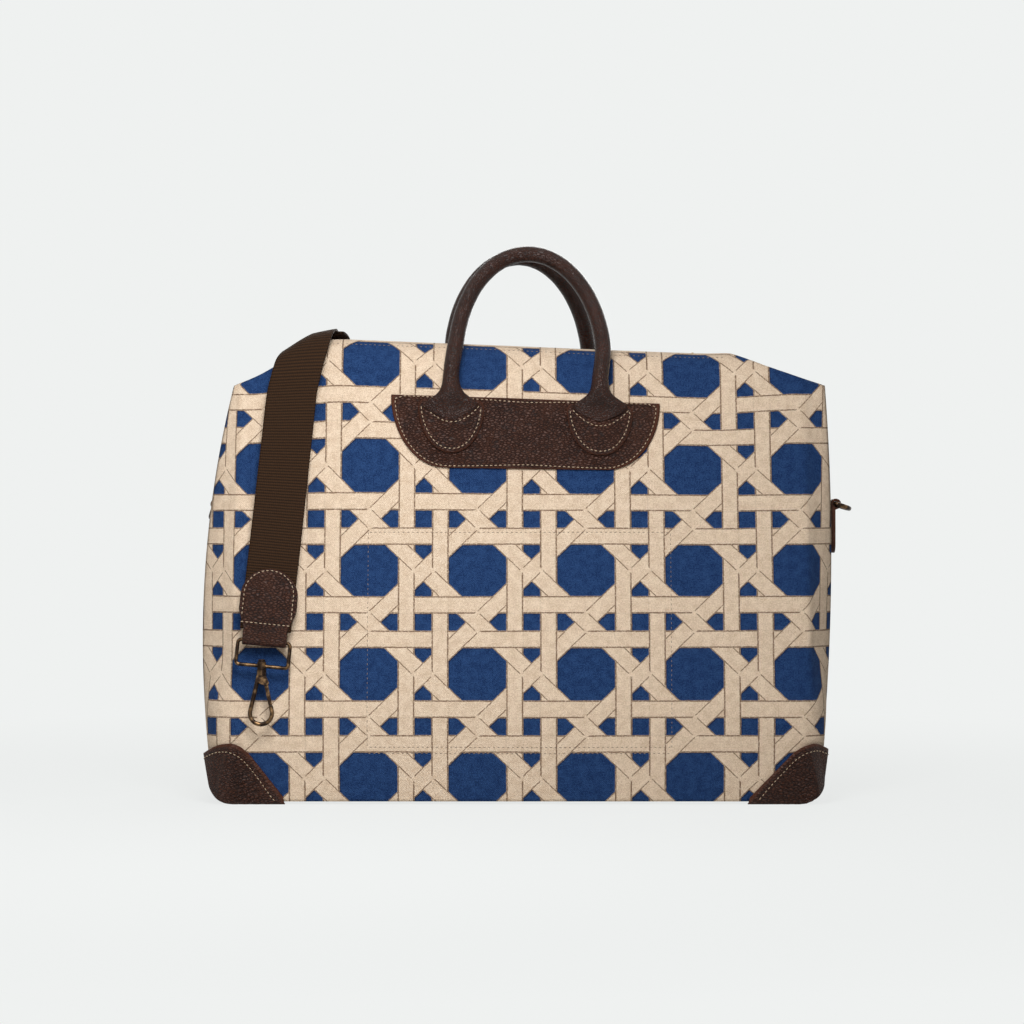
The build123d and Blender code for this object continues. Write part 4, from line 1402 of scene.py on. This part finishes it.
@dataclass
class Handle:
    """Rolled handle with its bells, shields and half-moon patch on one face of the bag."""

    finishes: Finishes
    face: Face
    lean_over: float
    lean_span: tuple[float, float] = (-0.08, 0.3)
    across: float = 3 * MM
    half_width: float = 60.5 * MM
    radius: float = 6.6 * MM
    root: float = 345 * MM
    leg: float = 12 * MM
    arch: float = 100 * MM
    top_depth: float = 20 * MM
    patch_half: float = 109.5 * MM
    patch_foot: float = 66 * MM
    patch_tilt: float = 0.2
    patch_top: float = 325 * MM
    patch_bottom: float = 267.5 * MM
    patch_steps: int = 24
    patch_segments: int = 220
    shield_half: float = 27 * MM
    shield_top: float = 321 * MM
    shield_bottom: float = 279 * MM
    shield_neck: float = 0.9
    shield_waist: float = 0.8
    shield_powers: tuple[float, float] = (0.9, 1.08)
    shield_steps: int = 40
    shield_seam: tuple[float, float] = (math.pi * 0.815, math.pi * 2.185)
    cloth_gap: float = 0.3 * MM
    sheet: float = 2.0 * MM
    bell_heights: tuple[float, ...] = (305.5, 307, 309, 312, 316, 319, 321.6, 324, 327, 331.5, 338)
    bell_halves: tuple[float, ...] = (2, 7, 12.5, 19, 23, 21, 16.5, 12, 9, 7.3, 6.7)
    bell_rises: tuple[float, ...] = (0.5, 0.9, 1.3, 2.2, 3.6, 4.5, 5.1, 5.6, 6.1, 6.5, 6.6)
    bell_lift: tuple[float, float] = (310, 331)
    leg_steps: int = 5
    arch_steps: int = 60
    around: int = 32
    least_side: float = 0.2
    crease: float = 0.025
    crease_rate: tuple[float, float] = (0.9, 1.5)
    crease_seed: float = 5.0
    smile_half: float = 22.5 * MM
    smile_height: float = 318.5 * MM
    smile_drop: float = 15.5 * MM
    smile_bow: float = 13.0 * MM
    smile_lift: float = 0.2 * MM
    smile_steps: int = 16

    @property
    def top_lift(self) -> float:
        """Distance from the cloth to the outside of the shields."""
        return 2 * (self.cloth_gap + self.sheet)

    def on_front(self, x: float, t: float, lift: float) -> Vector:
        """Point off the cloth, across from the handle's middle, before it is carried to its face."""
        return FORM.point(self.across + x, t, lift, SEEDS[self.face])

    def put(self, middle: float, height: float) -> Callable[[float, float, float], Vector]:
        """Placing function for a piece on the panel, about a point across and up."""
        start = FORM.length_at(height)

        def place(x: float, y: float, lift: float) -> Vector:
            """Point on the panel."""
            return self.face.place(self.on_front(middle + x, start + y, lift))

        return place

    def patch(self) -> LeatherSheet:
        """Half-moon patch."""
        middle = (self.patch_top + self.patch_bottom) / 2
        rise = self.patch_top - middle
        drop = self.patch_top - self.patch_bottom
        run = self.patch_half - self.patch_foot
        points = []
        for step in range(self.patch_steps + 1):
            angle = math.pi / 2 * step / self.patch_steps
            points.append((self.patch_foot + run * math.cos(angle), rise - drop * math.sin(angle)))
        points += [(-x, y) for x, y in reversed(points)]
        name = f"{self.face.name.lower()}_handle_patch"
        put = self.put(0.0, middle)
        return LeatherSheet(name, Outline(tuple(points)), put, self.cloth_gap, segments=self.patch_segments)

    def shield(self, way: float) -> LeatherSheet:
        """Tongue under one bell."""
        middle = (self.shield_top + self.shield_bottom) / 2
        half = (self.shield_top - self.shield_bottom) / 2
        neck = self.shield_half * self.shield_neck
        points = [(neck, half), (-neck, half)]
        wide, deep = self.shield_powers
        for step in range(self.shield_steps + 1):
            angle = math.pi * step / self.shield_steps
            x = -math.copysign(abs(math.cos(angle)) ** wide, math.cos(angle)) * self.shield_half
            drop = (1 + self.shield_waist) * half * math.sin(angle) ** deep
            points.append((x, half * self.shield_waist - drop))
        lift = self.top_lift - self.sheet
        name = f"{self.face.name.lower()}_{'right' if way > 0 else 'left'}_shield"
        return LeatherSheet(name, Outline(tuple(points)), self.put(way * self.half_width, middle), lift)

    def stations(self) -> list[tuple[Vector, Vector, float, float]]:
        """Centres, directions, half widths and half thicknesses along the handle."""
        bell = []
        for height, half, rise in zip(self.bell_heights, self.bell_halves, self.bell_rises):
            lift = self.top_lift + rise * MM * smooth_step(*self.bell_lift, height)
            point = self.on_front(-self.half_width, FORM.length_at(height * MM), lift)
            bell.append((point, half * MM, rise * MM))
        roll_depth, roll_height = FORM.roll_centre
        reach = math.sqrt(FORM.roll**2 - (self.root - roll_height) ** 2)
        root_depth = roll_depth + reach + self.top_lift + self.radius
        rise = Vector((0.0, root_depth - self.top_depth, self.arch))
        way = rise.normalized()
        crown = rise.length - self.leg
        leg = [self.leg * step / self.leg_steps for step in range(1, self.leg_steps)]
        flat = [(-self.half_width, y) for y in leg]
        for step in range(self.arch_steps + 1):
            angle = math.pi * (1 - step / self.arch_steps)
            flat.append((self.half_width * math.cos(angle), self.leg + crown * math.sin(angle)))
        flat += [(self.half_width, y) for y in reversed(leg)]
        arch = []
        for x, y in flat:
            point = Vector((self.across + x, -root_depth, self.root)) + way * y
            point.x += self.lean_over * smooth_step(*self.lean_span, y / rise.length)
            point.z += FORM.droop(point.x, point.z)
            arch.append((point, self.radius, self.radius))
        far = []
        for point, half, thick in bell:
            mirrored = Vector((2 * self.across - point.x, point.y, point.z))
            mirrored.z += FORM.droop(mirrored.x - point.x, point.z)
            far.append((mirrored, half, thick))
        line = bell + arch + far[::-1]
        found = []
        for index, (point, half, thick) in enumerate(line):
            before = line[max(index - 1, 0)][0]
            after = line[min(index + 1, len(line) - 1)][0]
            found.append((point, (after - before).normalized(), half, thick))
        return found

    def tube(self) -> bpy.types.Object:
        """The rolled handle itself."""
        stations = self.stations()
        rows = len(stations) - 1
        bm = bmesh.new()
        bmesh.ops.create_grid(bm, x_segments=self.around, y_segments=rows, size=1.0)
        bm.verts.layers.float.new("rim")
        for vert in bm.verts:
            row = round((vert.co.y + 1) / 2 * rows)
            angle = vert.co.x * math.pi
            centre, way, half, thick = stations[row]
            side = Vector((0.0, 1.0, 0.0)).cross(way)
            if side.length < self.least_side:
                side = Vector((1.0, 0.0, 0.0))
            side.normalize()
            out = way.cross(side).normalized()
            along, about = self.crease_rate
            spot = Vector((row * along, math.cos(angle) * about, self.face.value * self.crease_seed))
            ring = side * (half * math.cos(angle)) + out * (thick * math.sin(angle))
            vert.co = self.face.place(centre + ring * (1 + self.crease * noise.noise(spot)))
        bmesh.ops.remove_doubles(bm, verts=bm.verts, dist=SAME_PLACE)
        bmesh.ops.recalc_face_normals(bm, faces=bm.faces)
        piece = finished(f"{self.face.name.lower()}_handle", bm, self.finishes.rolled)
        smooth = piece.modifiers.new("smooth", "SUBSURF")
        smooth.levels = 1
        smooth.render_levels = 1
        return piece

    def smile(self, way: float) -> list[Vector]:
        """Stitch row under one bell, curved like its foot."""
        line = []
        put = self.put(way * self.half_width, self.smile_height)
        lift = self.top_lift + self.smile_lift
        for step in range(2 * self.smile_steps + 1):
            share = step / self.smile_steps - 1
            height = self.smile_bow * share * share - self.smile_drop
            line.append(put(share * self.smile_half, height, lift))
        return line

    def build(self) -> None:
        """Make the patch, the shields, the handle and their stitching."""
        out = Vector((0.0, self.face.value, self.patch_tilt))
        name = self.face.name.lower()
        patch = self.patch()
        settle(patch.build(self.finishes.leather, out), "bag", "brown_leather", f"{name}_handle_patch")
        lines = [patch.seam()]
        for way in (-1.0, 1.0):
            shield = self.shield(way)
            settle(shield.build(self.finishes.leather, out), "bag", "brown_leather", f"{name}_handle")
            lines += [shield.seam(*self.shield_seam), self.smile(way)]
        settle(self.tube(), "bag", "brown_leather", f"{name}_handle")
        rows = Stitching().sew(f"{name}_handle_stitches", lines, self.finishes.thread)
        settle(rows, "bag", "brown_leather")


@dataclass
class Strap:
    """Webbing laid over the bag from the front clip to the rear one."""

    finishes: Finishes
    width: float = 41 * MM
    thickness: float = 1.8 * MM
    tuck: float = 8 * MM
    front_across: float = -206 * MM
    front_height: float = 131 * MM
    front_lean: float = math.radians(5.5)
    rear_height: float = 80 * MM
    rear_lean: float = math.radians(9.0)
    rise: float = 4.3 * MM
    press: float = 1.6 * MM
    loose: float = 6.5 * MM
    loose_reach: float = 52 * MM
    loose_edges: tuple[float, float] = (0.35, 1.0)
    lead: float = 10 * MM
    drift: float = 8 * MM
    drift_span: tuple[float, float] = (0.5, 0.56)
    drift_fall: tuple[float, float] = (30 * MM, 200 * MM)
    turn_span: tuple[float, float] = (0.45, 0.55)
    roof_soft: float = 4 * MM
    roof_drop: float = 1 * MM
    tab: float = 60 * MM
    wave: float = 0.6 * MM
    wave_rate: tuple[float, float] = (12.0, 11.0)
    wave_seed: float = 4.0
    cuts: tuple[int, int] = (22, 260)

    @property
    def ends(self) -> tuple[float, float]:
        """Lengths of the strap's ends along the bag's whole section."""
        rear = FORM.length_at(self.rear_height + self.tuck)
        return FORM.length_at(self.front_height + self.tuck), self.whole - rear

    @property
    def whole(self) -> float:
        """Length of the section from one base edge over the top to the other."""
        return 2 * FORM.length + 2 * FORM.zip_half

    def section(self, w: float) -> tuple[float, float, float]:
        """Depth along Y, height, and the tilt of the whole section at a length."""
        if w <= FORM.length:
            depth, z, tilt = FORM.section(max(w, 0.0))
            return -depth, z, tilt
        if w < FORM.length + 2 * FORM.zip_half:
            return w - FORM.length - FORM.zip_half, FORM.top, math.pi / 2
        depth, z, tilt = FORM.section(max(self.whole - w, 0.0))
        return depth, z, math.pi - tilt

    def spine(self, w: float) -> tuple[float, float]:
        """Place across of the strap's middle, and its slant in the unrolled section."""
        _, z, tilt = self.section(w)
        share = smooth_step(*self.turn_span, w / self.whole)
        slant = self.front_lean + (self.rear_lean - self.front_lean) * share
        turn = FORM.runs[0] + FORM.runs[1]
        lead = self.lead * smooth_step(turn - FORM.roll / 2, FORM.length, w)
        if tilt <= math.pi / 2:
            return self.front_across + (z - self.front_height) * math.tan(self.front_lean) + lead, slant
        crest_height = FORM.top + self.rise
        crest = self.front_across + (crest_height - self.front_height) * math.tan(self.front_lean)
        fall = crest_height - z
        drift = lead + self.drift * smooth_step(*self.drift_span, w / self.whole)
        drift *= 1 - smooth_step(*self.drift_fall, fall)
        return crest + fall * math.tan(self.rear_lean) + drift, slant

    def point(self, s: float, w: float) -> Vector:
        """Point of the webbing's middle layer.

        Args:
            s: Place across the webbing, from its middle.
            w: Length along the bag's section.

        Returns:
            The point.
        """
        middle, slant = self.spine(w)
        x = middle + s * math.cos(slant)
        y, z, tilt = self.section(w - s * math.sin(slant))
        roof = FORM.roof(x)
        near = max(self.roof_soft - abs(z - roof), 0.0) / self.roof_soft
        held = min(z, roof) - near * near * self.roof_drop
        start, end = self.ends
        slack = smooth_step(0, self.tab, w - start) * smooth_step(0, self.tab, end - w)
        hump = math.exp(-(((w - self.whole / 2) / self.loose_reach) ** 2))
        low, high = self.loose_edges
        loose = self.loose * hump * (low + (high - low) * (s / self.width + 0.5))
        along, up = self.wave_rate
        wave = self.wave * noise.noise(Vector((s * along, w * up, self.wave_seed)))
        lift = self.rise + FORM.puff(min(tilt, math.pi - tilt)) + loose + slack * (wave - self.press)
        place = Vector((x, y, held)) + Vector((0.0, -math.cos(tilt), math.sin(tilt))) * lift
        place.z += FORM.droop(x, z)
        return place

    def build(self) -> None:
        """Make the webbing."""
        start, end = self.ends

        def shape(s: float, r: float) -> Placed:
            """Point and pattern place of a grid point."""
            across = s * self.width / 2
            along = start + (r + 1) / 2 * (end - start)
            return self.point(across, along), (across, along)

        piece = grid_piece("strap_webbing", self.cuts, shape, self.finishes.webbing, "web")
        wall = piece.modifiers.new("thickness", "SOLIDIFY")
        wall.thickness = self.thickness
        wall.offset = 0.0
        settle(piece, "bag", "strap_webbing", "strap_webbing")


def soft_copy(name: str, voxel: float, rounds: int, material: bpy.types.Material) -> bpy.types.Object:
    """Softened copy of a solid, with its sharp edges worn round.

    Args:
        name: The solid's name, and the piece's.
        voxel: Size of the faces.
        rounds: Rounds of smoothing.
        material: The piece's material.

    Returns:
        The piece.
    """
    bm = bmesh.new()
    bm.from_mesh(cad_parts[name].data)
    bmesh.ops.remove_doubles(bm, verts=bm.verts, dist=SAME_PLACE)
    rough = finished(f"{name}_rough", bm, material)
    cells = rough.modifiers.new("cells", "REMESH")
    cells.mode = "VOXEL"
    cells.voxel_size = voxel
    bpy.context.view_layer.update()
    shape = rough.evaluated_get(bpy.context.evaluated_depsgraph_get())
    bm = bmesh.new()
    bm.from_mesh(shape.to_mesh())
    shape.to_mesh_clear()
    bpy.data.objects.remove(rough)
    axes = {"use_axis_x": True, "use_axis_y": True, "use_axis_z": True}
    for _ in range(rounds):
        bmesh.ops.smooth_vert(bm, verts=bm.verts, factor=SMOOTHING, **axes)
    return finished(name, bm, material)


def mark_rim(piece: bpy.types.Object, share: Callable[[Vector, Vector], float]) -> None:
    """Write how burnished each point of a piece is.

    Args:
        piece: The piece.
        share: Gives the share from a point and its normal.
    """
    rim = piece.data.attributes.new("rim", "FLOAT", "POINT")
    rim.data.foreach_set("value", [share(vert.co, vert.normal) for vert in piece.data.vertices])


@dataclass
class CornerCap:
    """Leather cap folded round one lower corner of the bag."""

    finishes: Finishes
    face: Face
    side: Side
    voxel: float = 0.75 * MM
    rounds: int = 3
    rim_span: tuple[float, float] = (0.8 * MM, 2.2 * MM)
    inset: float = 4.0 * MM
    seam_foot: float = 3 * MM
    seam_lift: float = 0.15 * MM
    seam_facing: float = 0.25
    seam_heart: tuple[float, float] = (100 * MM, 150 * MM)
    seam_pivot: float = 120 * MM
    apex_across: float = 227 * MM
    apex_height: float = 50 * MM
    apex_round: float = 12 * MM
    side_fall: tuple[float, float] = (0.3, 0.3)
    apex_slack: float = 2 * MM
    least_top: float = 2 * MM
    least_run: float = 1 * MM
    foot: float = 18 * MM
    ridge: float = 3.0 * MM
    ridge_reach: float = 11 * MM
    ridge_slant: float = 0.25
    crease: float = 0.35 * MM
    crease_pitch: float = 3.4 * MM
    crease_slant: float = 0.35
    crease_start: float = 4 * MM
    crease_end: tuple[float, float] = (-50 * MM, -20 * MM)

    def drawn(self, place: Vector) -> Vector:
        """Point of the cap pulled up to the fold at its front, with a soft ridge and fine creases.

        Args:
            place: Point of the plain cap.

        Returns:
            The point of the finished cap.
        """
        start, _ = FORM.cap_plane(self.face, self.side)
        reach = FORM.cap_reach
        across, depth, z = abs(place.x), abs(place.y), place.z
        top = reach[2] * ((across - abs(start.x)) / reach[0] + (depth - abs(start.y)) / reach[1])
        rise = self.apex_height * (across - abs(start.x)) / (self.apex_across - abs(start.x))
        back = max(abs(start.y) - depth, 0.0)
        fall = self.apex_height - self.side_fall[0] * (across - self.apex_across) - self.side_fall[1] * back
        new_top = (rise + fall - math.hypot(rise - fall, self.apex_round)) / 2 + self.apex_round / 3
        new_top = max(min(new_top, rise + self.apex_slack), self.least_top)
        hold = min(self.foot, top / 2, new_top / 2)
        if top - hold > self.least_run and z > hold:
            z = hold + (z - hold) * (new_top - hold) / (top - hold)
        line = FORM.right if self.side is Side.RIGHT else FORM.left
        corner = FORM.plan_margin - FORM.plan_corner
        heart = Vector((line.widest + corner, FORM.belly_depth + corner))
        away = Vector((max(across - heart.x, 0.0), max(depth - heart.y, 0.0)))
        if away.length < self.least_run:
            return Vector((place.x, place.y, z))
        run = FORM.plan_corner * math.atan2(away.x, away.y) + min(across - heart.x, 0.0)
        fold = self.apex_across - heart.x + self.ridge_slant * (self.apex_height - z)
        swell = self.ridge * max(1 - abs(run - fold) / self.ridge_reach, 0.0) * smooth_step(0, self.foot, z)
        fan = math.sin(TURN * (z + self.crease_slant * (run - fold)) / self.crease_pitch)
        fan *= smooth_step(0, self.crease_start, fold - run) * smooth_step(*self.crease_end, run - fold)
        out = away.normalized() * (swell + self.crease * fan)
        x = math.copysign(across + out.x, place.x)
        return Vector((x, math.copysign(depth + out.y, place.y), z))

    def seam(self, piece: bpy.types.Object) -> list[Vector]:
        """Stitch line along the cut edge, over the outside of the cap."""
        point, normal = FORM.cap_plane(self.face, self.side)
        bm = bmesh.new()
        bm.from_mesh(piece.data)
        level = point + normal * self.inset
        geom = bm.verts[:] + bm.edges[:] + bm.faces[:]
        cut = bmesh.ops.bisect_plane(bm, geom=geom, plane_co=level, plane_no=normal)["geom_cut"]
        bm.normal_update()
        heart = Vector((self.side.value * self.seam_heart[0], 0.0, self.seam_heart[1]))
        found = []
        for vert in cut:
            if isinstance(vert, bmesh.types.BMVert) and vert.co.z > self.seam_foot:
                away = vert.co - heart
                if vert.normal.dot(away) > self.seam_facing * away.length:
                    found.append(vert.co + vert.normal * self.seam_lift)
        bm.free()

        def about(place: Vector) -> float:
            """Direction of a point round the corner, seen from above."""
            return math.atan2(place.y * self.face.value, place.x * self.side.value - self.seam_pivot)

        return sorted(found, key=about)

    def build(self) -> None:
        """Make the cap and its stitching."""
        name = f"{self.face.name.lower()}_{self.side.name.lower()}_cap"
        piece = soft_copy(name, self.voxel, self.rounds, self.finishes.leather)
        point, normal = FORM.cap_plane(self.face, self.side)
        mark_rim(piece, lambda place, _: 1 - smooth_step(*self.rim_span, (place - point).dot(normal)))
        line = [self.drawn(place) for place in self.seam(piece)]
        for vert in piece.data.vertices:
            vert.co = self.drawn(vert.co)
        piece.data.update()
        settle(piece, "bag", "brown_leather", name)
        rows = Stitching().sew(f"{name}_stitches", [line], self.finishes.thread)
        settle(rows, "bag", "brown_leather")


@dataclass
class StrapTab:
    """Leather tab folded over one end of the webbing."""

    finishes: Finishes
    face: Face
    across: float
    height: float
    lean: float
    lift: float = 8.3 * MM
    half: float = 19.8 * MM
    shoulder: float = 36 * MM
    crown: float = 54.8 * MM
    foot: float = 17 * MM
    cross_row: float = 13 * MM
    voxel: float = 0.55 * MM
    rounds: int = 2
    rim_foot: tuple[float, float] = (12 * MM, 18 * MM)
    rim_facing: tuple[float, float] = (0.35, 0.75)
    bow_steps: int = 40
    row_steps: int = 12

    def put(self, x: float, y: float) -> Vector:
        """Point on the tab's outer leaf, across and up from the clip's bar."""
        z = self.height + y * math.cos(self.lean) - x * math.sin(self.lean)
        depth, height, tilt = FORM.section(FORM.length_at(z))
        place = Vector((self.across + x * math.cos(self.lean) + y * math.sin(self.lean), -depth, height))
        return self.face.place(place + Vector((0.0, -math.cos(tilt), math.sin(tilt))) * self.lift)

    def build(self) -> None:
        """Make the tab and its stitching."""
        end = "front" if self.face is Face.FRONT else "rear"
        name = f"{end}_strap_tab"
        piece = soft_copy(name, self.voxel, self.rounds, self.finishes.leather)

        def edge(place: Vector, normal: Vector) -> float:
            """Share of burnish: the leaf's cut edges."""
            facing = smooth_step(*self.rim_facing, abs(normal.y))
            return (1 - facing) * smooth_step(*self.rim_foot, place.z - self.height)

        mark_rim(piece, edge)
        settle(piece, "bag", "brown_leather", name)
        bow = []
        for step in range(self.bow_steps + 1):
            angle = math.pi * step / self.bow_steps
            rise = (self.crown - self.shoulder) * math.sin(angle)
            bow.append(self.put(self.half * math.cos(angle), self.shoulder + rise))
        steps = self.row_steps
        climb = [self.foot + (self.shoulder - self.foot) * step / steps for step in range(steps)]
        first = [self.put(self.half, y) for y in climb]
        last = [self.put(-self.half, y) for y in reversed(climb)]
        row = [self.put(self.half * (1 - step / steps), self.cross_row) for step in range(2 * steps + 1)]
        rows = Stitching().sew(f"{name}_stitches", [first + bow + last, row], self.finishes.thread)
        settle(rows, "bag", "brown_leather")


@dataclass
class RingTab:
    """Leather tab that holds a D-ring on one side of the bag."""

    finishes: Finishes
    side: Side
    voxel: float = 0.4 * MM
    rounds: int = 2
    rim_facing: tuple[float, float] = (0.3, 0.7)

    def build(self) -> None:
        """Make the tab."""
        name = f"{self.side.name.lower()}_ring_tab"
        piece = soft_copy(name, self.voxel, self.rounds, self.finishes.leather)
        mark_rim(piece, lambda _, normal: 1 - smooth_step(*self.rim_facing, abs(normal.x)))
        settle(piece, "bag", "brown_leather", name)


@dataclass
class Sewing:
    """Rows of stitches that show on the cloth."""

    finishes: Finishes
    left: float = -124 * MM
    right: float = 120 * MM
    bottom: float = 46 * MM
    top: float = 218 * MM
    tuck: float = 5 * MM
    hem_half: float = 168 * MM
    hem_tilt: float = math.radians(64)
    hem_steps: int = 60
    line_steps: int = 80
    stitching: Stitching = Stitching(2.2 * MM, 1.6 * MM, 0.28 * MM)

    def hem(self, face: Face) -> list[Vector]:
        """Line along the turned top edge of one panel."""
        belly, wall, _, _ = FORM.runs
        t = belly + wall + FORM.roll * (self.hem_tilt - FORM.lean)
        found = []
        for step in range(2 * self.hem_steps + 1):
            across = self.hem_half * (step / self.hem_steps - 1)
            found.append(face.place(FORM.point(across, t, STITCH_LIFT, SEEDS[face])))
        return found

    def line(self, start: tuple[float, float], end: tuple[float, float]) -> list[Vector]:
        """Line on the front panel from one place across and up to another."""
        found = []
        for step in range(self.line_steps + 1):
            share = step / self.line_steps
            x = start[0] + (end[0] - start[0]) * share
            z = start[1] + (end[1] - start[1]) * share
            found.append(FORM.point(x, FORM.length_at(z), STITCH_LIFT, SEEDS[Face.FRONT]))
        return found

    def build(self) -> None:
        """Sew the pocket's outline, its tuck and the top edges."""
        corners = [
            (self.left, self.top),
            (self.right, self.top),
            (self.right, self.bottom),
            (self.left, self.bottom),
        ]
        lines = [self.line(a, b) for a, b in zip(corners, corners[1:] + corners[:1])]
        low = self.bottom - self.tuck
        lines.append(self.line((self.left, low), (self.right, low)))
        lines += [self.hem(face) for face in Face]
        rows = self.stitching.sew("pocket_stitches", lines, self.finishes.cloth_thread)
        settle(rows, "bag", "cane_cloth")


def dress_solids(finishes: Finishes) -> None:
    """Give the solids that stay in sight their materials."""
    kinds = {
        "clip": finishes.clip,
        "d_ring": finishes.clip,
        "zip_tape": finishes.tape,
        "zip": finishes.zip_metal,
        "board": finishes.board,
    }
    for name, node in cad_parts.items():
        for word, material in kinds.items():
            if word in name:
                node.data.materials.clear()
                node.data.materials.append(material)
                break


def main() -> None:
    """Build every piece in order."""
    logging.basicConfig(level=logging.INFO, format="%(name)s %(message)s")
    finishes = Finishes()
    Studio().build()
    ClothBody(finishes).build()
    Sewing(finishes).build()
    Handle(finishes, Face.FRONT, lean_over=3.6 * MM).build()
    Handle(finishes, Face.BACK, lean_over=-4 * MM, half_width=58.5 * MM).build()
    strap = Strap(finishes)
    strap.build()
    rear = strap.spine(strap.whole - FORM.length_at(strap.rear_height))[0]
    StrapTab(finishes, Face.FRONT, strap.front_across, strap.front_height, strap.front_lean).build()
    StrapTab(finishes, Face.BACK, rear, strap.rear_height, -strap.rear_lean).build()
    for side in Side:
        for face in Face:
            CornerCap(finishes, face, side).build()
        RingTab(finishes, side).build()
    dress_solids(finishes)


if __name__ == "__main__":
    main()
